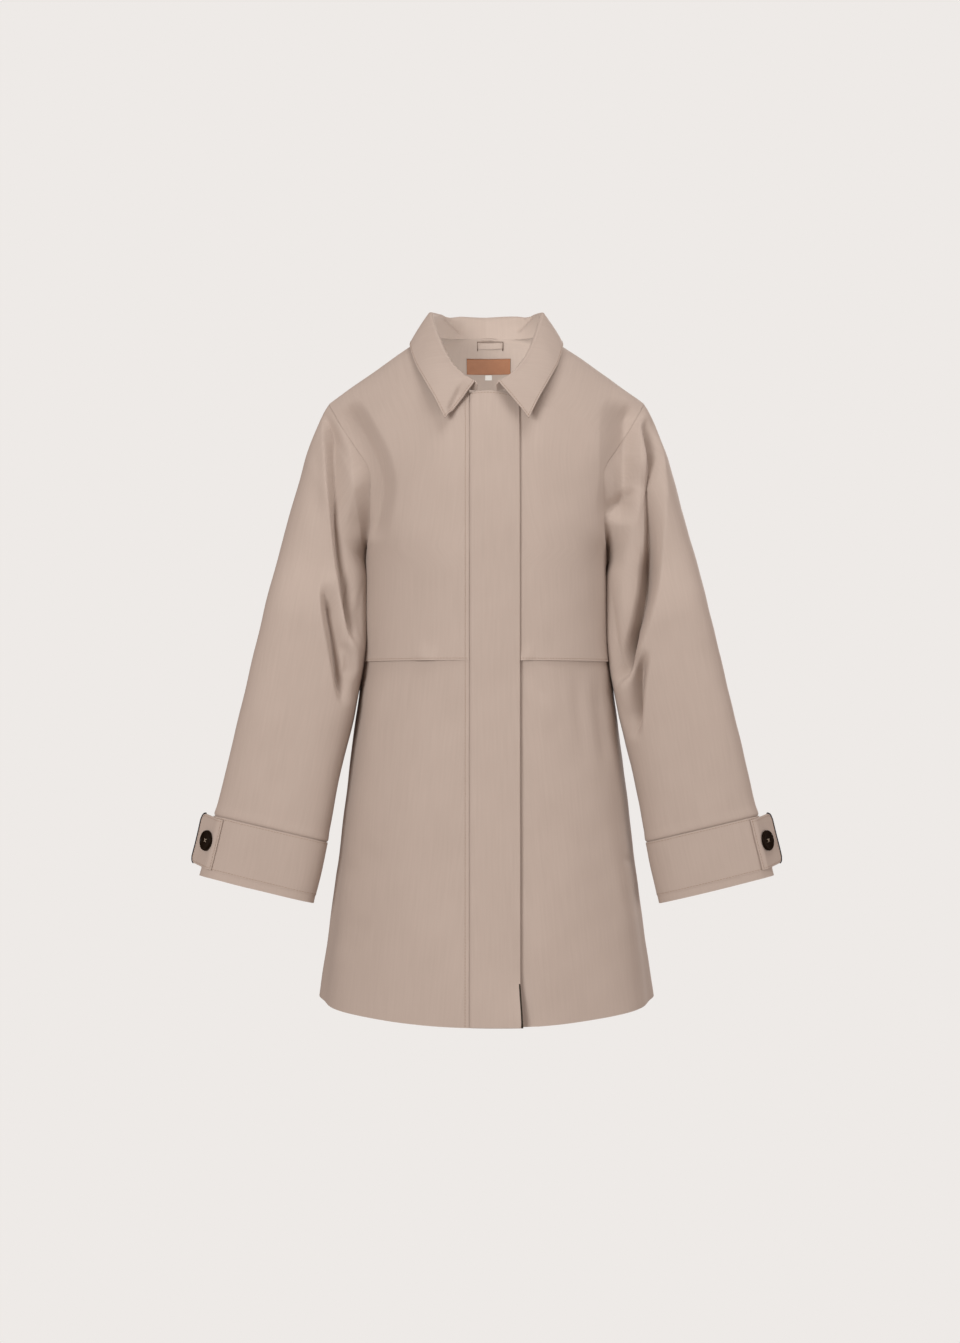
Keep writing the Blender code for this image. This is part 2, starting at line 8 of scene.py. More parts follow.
import bpy
import numpy as np
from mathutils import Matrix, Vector


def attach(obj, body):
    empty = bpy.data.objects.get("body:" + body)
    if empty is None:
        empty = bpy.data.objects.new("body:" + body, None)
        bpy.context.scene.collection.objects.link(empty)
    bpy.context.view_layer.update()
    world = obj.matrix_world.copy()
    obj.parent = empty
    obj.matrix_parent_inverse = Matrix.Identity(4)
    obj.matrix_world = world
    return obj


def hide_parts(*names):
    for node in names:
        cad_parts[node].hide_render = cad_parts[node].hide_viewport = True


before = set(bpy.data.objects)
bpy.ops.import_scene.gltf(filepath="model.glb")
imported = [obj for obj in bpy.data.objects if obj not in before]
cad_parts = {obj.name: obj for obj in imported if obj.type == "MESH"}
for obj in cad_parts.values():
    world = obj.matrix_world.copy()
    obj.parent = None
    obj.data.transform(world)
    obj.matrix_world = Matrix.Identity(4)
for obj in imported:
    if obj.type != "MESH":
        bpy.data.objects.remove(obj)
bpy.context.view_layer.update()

# Back: one panel of cotton twill from the shoulder seams to the hem, cut on the fold, so it has no
# middle seam. It hangs from the shoulders and falls in soft flutes. Its sections are the coat's own,
# which run up the front, over the shoulder and down the back.
MM = 0.001
MIRROR = np.array([-1, 1, 1])
CLOTH_WALL = 1.3 * MM
FOLD_SHARE = 0.35
MESH_SPACING = 4 * MM
BACK_COLUMNS = 62
EVEN_SHARE = 0.96
CLOSE_SHARES = [0.975, 0.985, 0.993, 1]
SEAM_WIDTH = 2.2 * MM
SEAM_DEPTH = 0.8 * MM
ARMHOLE_DIP = 0.4
BACK_NECK_FADE = 0.4
# square: 1 is a straight section, 2 an ellipse, more is boxier. flat: how far it runs on flat into a
# sleeve at its outer end, and doesn't turn back to a side seam.
Section = namedtuple("Section", "name x_in y_in z_in x_out y_out z_out square flat")
BODY = [
    Section("front hem", 0, -158, -832, 208.5, 0, -820, 2.05, 0),
    Section("front skirt", 0, -147, -690, 190, 0, -690, 2.15, 0),
    Section("front hip", 0, -138, -540, 171, 0, -540, 2.3, 0),
    Section("flap edge", 0, -131, -403, 155, 0, -405, 2.3, 0),
    Section("front underarm", 0, -130, -270, 148, 0, -270, 2.3, 0),
    Section("front armhole start", 0, -129, -250, 146, -34, -262, 2.3, 0.1),
    Section("front armhole low", 0, -125, -210, 142.5, -64, -230, 2.2, 0.6),
    Section("cross front", 0, -114, -150, 141, -76, -180, 2.0, 1),
    Section("front neck", 0, -90, -79, 160, -62, -143, 1.7, 1),
    Section("front neck curve", 24, -85, -75, 166, -55, -134, 1.6, 1),
    Section("front neck side", 56, -58, -44, 183, -31, -107, 1.25, 0.6),
    Section("shoulder", 74, 0, 3, 197, 4, -82, 1.05, 0),
    Section("back neck side", 54, 44, 9, 188, 36, -108, 1.3, 0.6),
    Section("back neck curve", 28, 63, 11, 179, 57, -138, 1.6, 1),
    Section("back neck", 0, 66, 12, 176, 62, -148, 1.7, 1),
    Section("cross back", 0, 103, -95, 162, 74, -190, 2.0, 1),
    Section("back armhole low", 0, 116, -190, 149, 50, -232, 2.2, 0.6),
    Section("back armhole start", 0, 119, -250, 147, 24, -262, 2.3, 0.1),
    Section("back underarm", 0, 119, -270, 148, 0, -270, 2.3, 0),
    Section("back waist", 0, 116, -403, 155, 0, -405, 2.3, 0),
    Section("back hip", 0, 124, -540, 171, 0, -540, 2.3, 0),
    Section("back skirt", 0, 135, -690, 190, 0, -690, 2.15, 0),
    Section("back hem", 0, 146, -830, 208.5, 0, -820, 2.05, 0),
]
BODY_ROW = {section.name: number for number, section in enumerate(BODY)}
BODY_SIZES = np.array([section[1:] for section in BODY], float)
BODY_SIZES[:, :6] *= MM
inner_gaps = np.linalg.norm(np.diff(BODY_SIZES[:, :3], axis=0), axis=1)
outer_gaps = np.linalg.norm(np.diff(BODY_SIZES[:, 3:6], axis=0), axis=1)
BODY_KNOTS = np.concatenate([[0], np.cumsum((inner_gaps + outer_gaps) / 2)])
NECK_CORNERS = [0, BODY_ROW["front neck"], BODY_ROW["back neck"], BODY_ROW["back hem"]]
# Bends along a panel's columns are spread over some rows, less and less near its seam and neck edge.
EVEN_ROWS = 6
KEPT_AT_SEAM = (6 * MM, 50 * MM)
KEPT_AT_NECK = (4 * MM, 40 * MM)

# Flutes of the skirt: place between centre (0) and side seam (1), half width in that share, height
# at the hem, and the level at which each has faded away.
Flute = namedtuple("Flute", "name front at half_width out fade_z")
FLUTES = [
    Flute("front side flute", True, 0.62, 0.14, 4, -430),
    Flute("front side hollow", True, 0.83, 0.09, -3, -450),
    Flute("back middle hollow", False, 0.18, 0.12, -4, -400),
    Flute("back flute", False, 0.45, 0.15, 5, -380),
    Flute("back side hollow", False, 0.75, 0.12, -4, -420),
]

# Creases are troughs along a path of x and z places seen from the front. near and far are the half
# widths on the left and right hand of someone walking the path, lip a raised edge on the near side,
# fade the length in which it dies away at each end, crisp how far its walls are flat and not rounded.
# A negative depth is a ridge.
Crease = namedtuple("Crease", "name path depth near far lip fade crisp", defaults=(0,))
CRISP_REACH = 1.7
LIP_PLACE = 2.2
BACK_CREASES = [
    Crease("right blade drag", ((-40, -150), (-96, -196), (-142, -236)), 2.4, 12, 20, 0.6, 50),
    Crease("left blade drag", ((34, -164), (88, -206), (140, -242)), 2.0, 18, 11, 0.5, 50),
    Crease("waist slack", ((-104, -372), (-30, -392), (48, -384)), 1.6, 15, 22, 0, 60),
    Crease("waist slack low", ((-14, -432), (54, -426), (112, -404)), 1.8, 20, 13, 0, 50),
    Crease("right seat fold", ((-60, -520), (-84, -640), (-98, -760)), 2.6, 18, 14, 0.5, 90),
    Crease("left seat fold", ((46, -560), (74, -680), (92, -800)), 2.2, 13, 20, 0.4, 90),
    Crease("middle fall", ((8, -600), (2, -700), (-6, -812)), 1.8, 20, 18, 0, 90),
]
PATH_STEPS = 6

# Slack of the cloth: products of two waves, each with its share of the height. A wave is its radians a
# metre along x, y and z and where it starts.
SLACK_HEIGHT = 0.45 * MM
SLACK_WAVES = [
    (1.0, (61, 0, 23, 1.3), (-29, 40, 37, 0)),
    (0.6, (97, 0, -44, 0.4), (0, 33, 71, 2.1)),
]


def curve_between(start, leave, end, arrive, u):
    """The place at share u of a curve between two places, with its slopes at both."""
    first = start * (1 + 2 * u) * (1 - u) ** 2 + leave * u * (1 - u) ** 2
    return first + end * u * u * (3 - 2 * u) - arrive * u * u * (1 - u)


def smooth(values, at, knots=None):
    """The value at a fractional row of a table, eased between rows and never past them."""
    values = np.asarray(values, float)
    gaps = np.ones(len(values) - 1) if knots is None else np.diff(knots)
    gaps = gaps.reshape([-1] + [1] * (values.ndim - 1))
    rate = np.diff(values, axis=0) / gaps
    before, after = rate[:-1], rate[1:]
    same_way = before * after > 0
    first_weight, second_weight = gaps[:-1] + 2 * gaps[1:], 2 * gaps[:-1] + gaps[1:]
    shares = first_weight / np.where(same_way, before, 1) + second_weight / np.where(same_way, after, 1)
    slope = np.zeros_like(values)
    slope[1:-1] = np.where(same_way, (first_weight + second_weight) / np.where(same_way, shares, 1), 0)
    slope[0], slope[-1] = rate[0], rate[-1]
    row = min(int(at), len(rate) - 1)
    leave, arrive = gaps[row] * slope[row], gaps[row] * slope[row + 1]
    return curve_between(values[row], leave, values[row + 1], arrive, at - row)


def smooth_line(values, steps, knots=None):
    """Eased values all along a table, so many steps from each row to the next."""
    count = steps * (len(values) - 1) + 1
    return np.array([smooth(values, step / steps, knots) for step in range(count)])


def unit(vectors):
    """Vectors made one long."""
    return vectors / np.maximum(np.linalg.norm(vectors, axis=-1, keepdims=True), 1e-12)


def ease(value, low, high):
    """0 below low, 1 above high, eased between."""
    share = np.clip((value - low) / (high - low), 0, 1)
    return share * share * (3 - 2 * share)


def body_sizes(at):
    """Sizes of a section between others; the inner edge turns corners where the neck's edge begins."""
    for first, last in zip(NECK_CORNERS[:-1], NECK_CORNERS[1:]):
        if at <= last:
            break
    run = slice(first, last + 1)
    inner = smooth(BODY_SIZES[run, :3], at - first, BODY_KNOTS[run])
    return np.concatenate([inner, smooth(BODY_SIZES[:, 3:], at, BODY_KNOTS)])


def body_row(at, shares):
    """Points of the coat's outer face along one section; a negative share lies past the centre line."""
    x_in, y_in, z_in, x_out, y_out, z_out, square, flat = body_sizes(at)
    shares = np.asarray(shares, float)
    angle = np.minimum(np.abs(shares), 1) * math.pi / 2
    sine, cosine = np.sin(angle), np.maximum(np.cos(angle), 0)
    size = (sine**square + cosine**square) ** (1 / square)
    out = sine / size
    ahead = (1 - flat) * cosine / size + flat * (1 - out**2)
    x = x_in + (x_out - x_in) * out
    y = y_out + (y_in - y_out) * ahead
    z = z_in + (z_out - z_in) * out**square
    flute_height = np.zeros_like(x)
    for flute in FLUTES:
        if flute.front == (at < BODY_ROW["shoulder"]):
            grow = ease(flute.fade_z * MM - z, 0, flute.fade_z * MM - BODY_SIZES[0, 2])
            beside = (np.abs(shares) - flute.at) / flute.half_width
            flute_height += flute.out * MM * grow * np.exp(-(beside**2))
    grow = 1 + flute_height / np.maximum(np.hypot(x, y), MM)
    return np.stack([np.copysign(x, shares) * grow, y * grow, z], axis=-1)


def body_rows(first, last):
    """Fractional section numbers from one section to another, about a mesh spacing apart."""
    numbers = []
    for row in range(first, last):
        gap = np.linalg.norm(body_row(row + 1, [0.5]) - body_row(row, [0.5]))
        steps = max(2, round(gap / MESH_SPACING))
        numbers += [row + step / steps for step in range(steps)]
    return numbers + [float(last)]


def row_of(name, numbers):
    """The place of a named section in a list of section numbers."""
    return numbers.index(float(BODY_ROW[name]))


def seam_shares(first, count):
    """Shares across a panel, even and then closer together at its outer seam."""
    spread = np.append(np.linspace(0, EVEN_SHARE, count), CLOSE_SHARES)
    return first + (1 - first) * spread


def normals_of(grid, ring=False):
    """Normals of a grid of points, on the side from which its columns run right as its rows run up."""
    if ring:
        across = np.roll(grid, -1, axis=1) - np.roll(grid, 1, axis=1)
    else:
        across = np.gradient(grid, axis=1)
    return unit(np.cross(across, np.gradient(grid, axis=0)))


def lifted(form, lift, ring=False):
    """A form with each point moved out along its normal."""
    return form + normals_of(form, ring) * lift[..., None]


def mirrored(grid):
    """The same cloth on the other side of the coat, with its columns still running the same way."""
    return (grid * MIRROR)[:, ::-1]


def relief(points, creases):
    """Height that the creases give the cloth at each point, seen from the front."""
    x, z = points[..., 0] / MM, points[..., 2] / MM
    height = np.zeros_like(x)
    for crease in creases:
        path = smooth_line(crease.path, PATH_STEPS)
        nearest = np.full_like(x, np.inf)
        along = np.zeros_like(x)
        near_side = np.zeros_like(x, bool)
        start = 0.0
        for (x0, z0), (x1, z1) in zip(path[:-1], path[1:]):
            length = math.hypot(x1 - x0, z1 - z0)
            way_x, way_z = (x1 - x0) / length, (z1 - z0) / length
            run = np.clip((x - x0) * way_x + (z - z0) * way_z, 0, length)
            off_x, off_z = x - x0 - run * way_x, z - z0 - run * way_z
            away = np.hypot(off_x, off_z)
            closer = away < nearest
            nearest = np.where(closer, away, nearest)
            along = np.where(closer, start + run, along)
            near_side = np.where(closer, way_x * off_z - way_z * off_x > 0, near_side)
            start += length
        strength = ease(along, 0, crease.fade) * ease(start - along, 0, crease.fade)
        width = np.where(near_side, crease.near, crease.far)
        rounded = np.exp(-((nearest / width) ** 2))
        flat_walled = np.clip(1 - nearest / width / CRISP_REACH, 0, 1)
        profile = rounded + (flat_walled - rounded) * crease.crisp
        height -= crease.depth * strength * profile
        edge = np.exp(-((nearest / crease.near - LIP_PLACE) ** 2))
        height += crease.lip * strength * np.where(near_side, edge, 0)
    return height * MM


def slack(points):
    """Slow uneven waves of cloth that isn't pulled tight."""
    height = 0
    for share, *waves in SLACK_WAVES:
        first, second = (np.sin(points @ wave[:3] + wave[3]) for wave in waves)
        height = height + share * first * second
    return SLACK_HEIGHT * height


def edge_distance(grid, first=False):
    """How far each point of a grid lies from its last column, or from its first, along its row."""
    if first:
        return edge_distance(grid[:, ::-1])[:, ::-1]
    steps = np.linalg.norm(np.diff(grid, axis=1), axis=2)
    beyond = np.cumsum(steps[:, ::-1], axis=1)[:, ::-1]
    return np.concatenate([beyond, np.zeros((len(grid), 1))], axis=1)


def evened(form, neck_rows):
    """A panel with bends along its columns spread out, but not at its outer seam or its neck edge."""
    reach = 3 * EVEN_ROWS
    before, after = 2 * form[:1] - form[reach:0:-1], 2 * form[-1:] - form[-2 : -reach - 2 : -1]
    padded = np.concatenate([before, form, after])
    weights = np.exp(-((np.arange(-reach, reach + 1) / EVEN_ROWS) ** 2))
    weights /= weights.sum()
    spread = sum(weight * padded[row : row + len(form)] for row, weight in enumerate(weights))
    keep = 1 - ease(edge_distance(form), *KEPT_AT_SEAM)
    neck = 1 - ease(edge_distance(form, first=True), *KEPT_AT_NECK)
    keep = np.maximum(keep, neck * neck_rows[:, None])[..., None]
    return form * keep + spread * (1 - keep)


def seam_dip(distance, armhole_rows):
    """How far cloth sinks into its outer seam at a distance from it, less along the pressed armhole."""
    share = np.where(armhole_rows, ARMHOLE_DIP, 1.0)[:, None]
    return SEAM_DEPTH * share * np.exp(-((distance / SEAM_WIDTH) ** 2))


def closed(grid):
    """A ring of points with its first column again after its last."""
    return np.concatenate([grid, grid[:, :1]], axis=1)


def linear(colour):
    """An sRGB hex colour as linear RGBA."""
    values = [int(colour[place : place + 2], 16) / 255 for place in (1, 3, 5)]
    return [v / 12.92 if v <= 0.04045 else ((v + 0.055) / 1.055) ** 2.4 for v in values] + [1.0]


def darker(colour, share):
    """An sRGB hex colour as linear RGBA, with its light cut to a share."""
    return [value * share for value in linear(colour)[:3]] + [1.0]


def add_node(tree, kind, out, inputs, **settings):
    """One output of a new shader node, whose sockets are set to values or linked to other outputs."""
    node = tree.nodes.new(kind)
    for name, value in settings.items():
        setattr(node, name, value)
    for name, value in inputs.items():
        if isinstance(value, bpy.types.NodeSocket):
            tree.links.new(value, node.inputs[name])
        else:
            node.inputs[name].default_value = value
    return node.outputs[out]


# Cotton twill: matt, close woven, with a slight bloom of fibre at grazing angles. A twill line is
# about 0.5 mm in the real cloth and is drawn 1.2 mm apart so that it shows. Slubs are thicker yarns.
TWILL_COLOUR = "#BAABA0"
TWILL_SLUB = "#B3A499"
TWILL_LINE = 1.2 * MM
TWILL_ANGLE = 63
SLUB_WIDTH = 2.5 * MM
SLUB_LENGTH = 60 * MM
FADE_PATCH = 90 * MM
# A wave texture's lines lie this far apart at scale 1.
WAVE_SPACING = 2 * math.pi / 20


def plain_material(name, roughness, ior, specular):
    """A new material, its node tree and its shader."""
    material = bpy.data.materials.new(name)
    material.use_nodes = True
    shader = material.node_tree.nodes["Principled BSDF"]
    shader.inputs["Roughness"].default_value = roughness
    shader.inputs["IOR"].default_value = ior
    shader.inputs["Specular IOR Level"].default_value = specular
    return material, material.node_tree, shader


def noise(tree, place, scale, detail):
    """Cloudy noise over places on the cloth or in the object."""
    return add_node(tree, "ShaderNodeTexNoise", "Fac", {"Vector": place, "Scale": scale, "Detail": detail})


def two_tone(tree, shader, share, first, second):
    """Colours a shader with a mix of two linear colours."""
    colours = {"Factor": share, "A": first, "B": second}
    mixed = add_node(tree, "ShaderNodeMix", "Result", colours, data_type="RGBA")
    tree.links.new(mixed, shader.inputs["Base Color"])


def roughened(tree, shader, height, strength, distance):
    """Gives a shader's surface a fine relief."""
    sizes = {"Height": height, "Strength": strength, "Distance": distance}
    tree.links.new(add_node(tree, "ShaderNodeBump", "Normal", sizes), shader.inputs["Normal"])


def cotton_twill(name, colour, slub_colour):
    """Woven cotton twill whose weave follows the cloth's own lengths."""
    material, tree, shader = plain_material(name, roughness=0.82, ior=1.47, specular=0.25)
    cloth = add_node(tree, "ShaderNodeTexCoord", "UV", {})
    slub_sizes = {"Vector": cloth, "Scale": (1 / SLUB_WIDTH, 1 / SLUB_LENGTH, 1)}
    yarn = noise(tree, add_node(tree, "ShaderNodeMapping", "Vector", slub_sizes), 1.0, 3.0)
    patch = noise(tree, cloth, 1 / FADE_PATCH, 2.0)
    angle = {"Vector": cloth, "Rotation": (0, 0, math.radians(TWILL_ANGLE))}
    turned = add_node(tree, "ShaderNodeMapping", "Vector", angle)
    lines = {"Vector": turned, "Scale": WAVE_SPACING / TWILL_LINE, "Distortion": 0.6, "Detail": 1.0}
    wale = add_node(tree, "ShaderNodeTexWave", "Fac", lines)
    blend = add_node(tree, "ShaderNodeMath", "Value", {0: yarn, 1: patch}, operation="ADD")
    limits = {"Value": blend, "From Min": 0.6, "From Max": 1.4, "To Min": 0.0, "To Max": 1.0}
    share = add_node(tree, "ShaderNodeMapRange", "Result", limits)
    two_tone(tree, shader, share, linear(colour), linear(slub_colour))
    height = add_node(tree, "ShaderNodeMath", "Value", {0: yarn, 1: wale}, operation="ADD")
    roughened(tree, shader, height, strength=0.25, distance=0.15 * MM)
    shader.inputs["Sheen Weight"].default_value = 0.08
    shader.inputs["Sheen Roughness"].default_value = 0.6
    return material


def add_piece(name, vertices, faces, material):
    """A smooth mesh object that rides on the coat."""
    mesh = bpy.data.meshes.new(name)
    mesh.from_pydata(np.asarray(vertices).tolist(), [], faces)
    mesh.shade_smooth()
    mesh.materials.append(material)
    piece = bpy.data.objects.new(name, mesh)
    bpy.context.scene.collection.objects.link(piece)
    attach(piece, "root")
    return piece


def cloth_piece(name, grid, wall, material, ring=False, centred=False, open_rows=None):
    """A sheet of cloth on a grid of points, with its wall under it and its edges folded round.

    With open_rows, the middle two columns are the edges of a neck in those rows and one line below.
    """
    rows, columns = grid.shape[:2]
    numbers = np.arange(rows * columns).reshape(rows, columns)
    neck = None if open_rows is None else columns // 2 - 1
    if neck is not None:
        numbers[open_rows:, neck + 1] = numbers[open_rows:, neck]
    used, numbers = np.unique(numbers, return_inverse=True)
    numbers = numbers.reshape(rows, columns).tolist()
    looped = closed(grid) if ring else grid
    across = np.linalg.norm(np.diff(looped, axis=1), axis=2)
    along = np.linalg.norm(np.diff(grid, axis=0), axis=2).mean(axis=1)
    u = np.concatenate([np.zeros((rows, 1)), np.cumsum(across, axis=1)], axis=1)
    u = u - u[:, u.shape[1] // 2 :][:, :1]
    v = np.concatenate([[0], np.cumsum(along)])
    faces, places = [], []
    for row in range(rows - 1):
        for column in range(columns if ring else columns - 1):
            if column == neck:
                continue
            beside = (column + 1) % columns
            low, high = numbers[row], numbers[row + 1]
            faces.append((low[column], low[beside], high[beside], high[column]))
            places += [(u[row, column], v[row]), (u[row, column + 1], v[row])]
            places += [(u[row + 1, column + 1], v[row + 1]), (u[row + 1, column], v[row + 1])]
    piece = add_piece(name, grid.reshape(-1, 3)[used], faces, material)
    piece.data.uv_layers.new(name="cloth").data.foreach_set("uv", np.array(places).ravel())
    sides = Counter(key for face in piece.data.polygons for key in face.edge_keys)
    weights = piece.data.attributes.new("bevel_weight_edge", "FLOAT", "EDGE")
    weights.data.foreach_set("value", [float(sides[key] == 1) for key in piece.data.edge_keys])
    solid = piece.modifiers.new("wall", "SOLIDIFY")
    solid.thickness = wall
    solid.offset = 0 if centred else -1
    fold = piece.modifiers.new("folded edge", "BEVEL")
    fold.width = FOLD_SHARE * wall
    fold.segments = 2
    fold.limit_method = "WEIGHT"
    fold.harden_normals = True
    return piece


def sewn_in(node):
    """Hides the CAD node whose place a sheet takes."""
    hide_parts(node)


twill = cotton_twill("cotton_twill", TWILL_COLOUR, TWILL_SLUB)
back_neck = BODY_ROW["back neck"]
back_numbers = body_rows(BODY_ROW["shoulder"], BODY_ROW["back hem"])
half_back = np.array([body_row(at, seam_shares(0, BACK_COLUMNS)) for at in back_numbers])
half_back = evened(half_back, 1 - ease(np.array(back_numbers), back_neck, back_neck + BACK_NECK_FADE))
neck_foot = row_of("back neck", back_numbers)
half_back[neck_foot:, 0, 0] = 0
back_form = np.concatenate([mirrored(half_back), half_back], axis=1)
to_seam = edge_distance(half_back)
to_seam = np.concatenate([to_seam[:, ::-1], to_seam], axis=1)
back_armhole = np.array(back_numbers) < BODY_ROW["back underarm"]
back_lift = relief(back_form, BACK_CREASES) + slack(back_form) - seam_dip(to_seam, back_armhole)
back_grid = lifted(back_form, back_lift)
back = cloth_piece("back_cloth", back_grid, CLOTH_WALL, twill, open_rows=neck_foot)
sewn_in("back_panel")

# Fronts: two panels of the same twill. The wearer's right one ends at the placket's seam, the left
# one runs on under the placket, let in there to make room. Soft folds drop from under the flaps, and
# the cloth is hollow in front of each armhole.
PLACKET_SEAM_X = 21 * MM
UNDERLAP_X = 20 * MM
UNDER_PLACKET_SINK = 4.2 * MM
SINK_FULL_X = 41 * MM
SINK_END_X = 66 * MM
FRONT_COLUMNS = 58
FRONT_NECK_FADE = 0.5
ARMHOLE_CREASES = [
    Crease(
        "right armhole hollow",
        ((-176, -82), (-147, -131), (-130, -168), (-125, -195), (-130, -230), (-139, -262)),
        18, 10, 22, 0, 28, 0.7,
    ),
    Crease(
        "left armhole hollow",
        ((180, -80), (168, -113), (167, -142), (166, -185), (160, -240)),
        20, 13, 18, 0, 30, 0.6,
    ),
]
FRONT_CREASES = [
    Crease("right long diagonal", ((-22, -436), (-79, -521), (-131, -602)), 2.6, 24, 24, 0, 60),
    Crease("right low diagonal", ((-33, -655), (-58, -690), (-84, -728)), 1.5, 16, 16, 0, 40),
    Crease("right side dent", ((-122, -622), (-150, -646), (-182, -676)), 2.6, 13, 18, 0, 30),
    Crease("right low side dent", ((-140, -704), (-158, -732), (-180, -766)), 2.4, 11, 15, 0, 30),
    Crease("right side break", ((-112, -398), (-136, -477), (-152, -560)), -2.4, 12, 16, 0, 70),
    Crease("left long trough", ((44, -490), (68, -603), (88, -664)), 2.0, 16, 16, 0, 60),
    Crease("left inner pleat", ((50, -404), (60, -430), (72, -462)), 2.2, 6, 8, 0.3, 26),
    Crease("left middle pleat", ((106, -400), (111, -470), (120, -535)), 1.9, 8, 8, 0.2, 50),
    Crease("left outer pleat", ((131, -410), (138, -480), (146, -552)), 2.2, 9, 8, 0.2, 50),
    Crease("left side break", ((142, -600), (163, -691), (184, -775)), -1.8, 14, 12, 0, 80),
    Crease("left pocket dimple", ((165, -640), (171, -646), (177, -651)), 1.6, 4, 4, 0, 6),
]


def share_at(at, x):
    """The share of a section that lies x out from the centre plane, 0 where the neck edge is further out."""
    x_in, _, _, x_out, _, _, square, _ = body_sizes(at)
    if x <= x_in:
        return 0.0
    out = (x - x_in) / (x_out - x_in)
    return math.atan2(out, (1 - out**square) ** (1 / square)) / (math.pi / 2)


def front_form(inner_x):
    """Smooth form of a front on the wearer's left side, hem to shoulder, from inner_x at the centre."""
    neck = BODY_ROW["front neck"]
    rows = []
    for at in front_numbers:
        if inner_x >= 0:
            first = share_at(at, inner_x)
        else:
            first = -share_at(at, -inner_x) if at <= neck else 0.0
        rows.append(body_row(at, seam_shares(first, FRONT_COLUMNS)))
    return evened(np.array(rows), ease(np.array(front_numbers), neck - FRONT_NECK_FADE, neck))


def for_side(grid, side):
    """Cloth made for the wearer's left put on a side, or cloth of a side put on the left."""
    return mirrored(grid) if side == "right" else grid


def hollowed(grid, share=1.0):
    """The same cloth pushed straight back where it is hollow in front of the armholes."""
    return grid - (relief(grid, ARMHOLE_CREASES) * share)[..., None] * [0, 1, 0]


front_numbers = body_rows(0, BODY_ROW["shoulder"])
front_forms = {"right": mirrored(front_form(PLACKET_SEAM_X)), "left": front_form(-UNDERLAP_X)}
left_x = front_forms["left"][..., 0]
let_in = {"right": 0, "left": UNDER_PLACKET_SINK * (1 - ease(left_x, SINK_FULL_X, SINK_END_X))}
front_armhole = np.array(front_numbers) > BODY_ROW["front underarm"]
front_full, front_grids = {}, {}
for side, form in front_forms.items():
    lift = relief(form, FRONT_CREASES) + slack(form) - let_in[side]
    lift -= seam_dip(edge_distance(form, first=side == "right"), front_armhole)
    front_full[side] = lifted(form, lift)
    front_grids[side] = hollowed(front_full[side])
    front = cloth_piece(f"front_cloth_{side}", front_grids[side], CLOTH_WALL, twill)
    sewn_in(f"front_panel_{side}")

# Storm flaps: a second layer of twill over each side of the chest, caught in the shoulder, armhole and
# placket seams and free along its lower edge, which is turned under and stands a little off the front.
FLAP_WALL = 1.8 * MM
FLAP_OFF = 0.4 * MM
FLAP_EDGE_LIFT = 0.6 * MM
FLAP_TAPER = 18 * MM
FLAP_LIFT_HEIGHT = 26 * MM
FLAP_UNDERLAP_X = 26 * MM
FLAP_SIDE_SHARE = 0.8
FLAP_SIDE_ROWS = 8
FLAP_NECK_COLUMN = 0.8
FLAP_COLUMNS = 60
FLAP_CAUGHT = 0.2 * MM
FLAP_SHOULDER_ROWS = 3
FLAP_LIFTS = [
    Crease("right edge lift", ((-90, -398), (-72, -402), (-56, -404)), -3.0, 13, 13, 0, 14),
    Crease("left edge lift", ((40, -396), (46, -399), (54, -402)), -2.6, 12, 12, 0, 6),
]


def along_line(places, knots, line):
    """Points of a line, and anything else that it holds, at places between its knots."""
    return np.stack([np.interp(places, knots, values) for values in line.T], axis=-1)


flap_first = row_of("flap edge", front_numbers)
underarm = row_of("front underarm", front_numbers)
neck_first = row_of("front neck", front_numbers)
flap_grids = {}
for side in ("right", "left"):
    form = for_side(front_forms[side], side)
    turn = MIRROR if side == "right" else 1
    above = np.clip((form[..., 2] - form[flap_first, :, 2]) / FLAP_LIFT_HEIGHT, 0, 1)
    outward = FLAP_WALL + FLAP_OFF + FLAP_EDGE_LIFT * (1 - above) ** 2
    outward = outward + relief(form * turn, FRONT_CREASES + FLAP_LIFTS) + slack(form * turn) - let_in[side]
    row_numbers = np.arange(len(form))[:, None]
    caught = np.exp(-((edge_distance(form) / FLAP_TAPER) ** 2)) * (row_numbers >= underarm)
    if side == "right":
        caught = caught + np.exp(-((edge_distance(form, first=True) / FLAP_TAPER) ** 2))
    below_shoulder = (len(form) - 1 - row_numbers) / FLAP_SHOULDER_ROWS
    caught = np.minimum(caught + np.exp(-(below_shoulder**2)), 1)
    raised = lifted(form, outward - (FLAP_WALL + FLAP_OFF - FLAP_CAUGHT) * caught)
    columns = np.arange(form.shape[1])
    rows = []
    for number in range(flap_first, len(form)):
        if number > neck_first:
            inner = FLAP_NECK_COLUMN
        else:
            inner = np.interp(FLAP_UNDERLAP_X, form[number, :, 0], columns) if side == "left" else 0.0
        open_side = 1 - ease(number, underarm - FLAP_SIDE_ROWS, underarm)
        outer_share = 1 - (1 - FLAP_SIDE_SHARE) * open_side
        outer = np.interp(outer_share, seam_shares(0, FRONT_COLUMNS), columns)
        places = inner + (outer - inner) * seam_shares(0, FLAP_COLUMNS)
        rows.append(along_line(places, columns, raised[number]))
    flap_grids[side] = hollowed(for_side(np.array(rows), side))
    flap = cloth_piece(f"storm_flap_cloth_{side}", flap_grids[side], FLAP_WALL, twill)
    sewn_in(f"storm_flap_{side}")

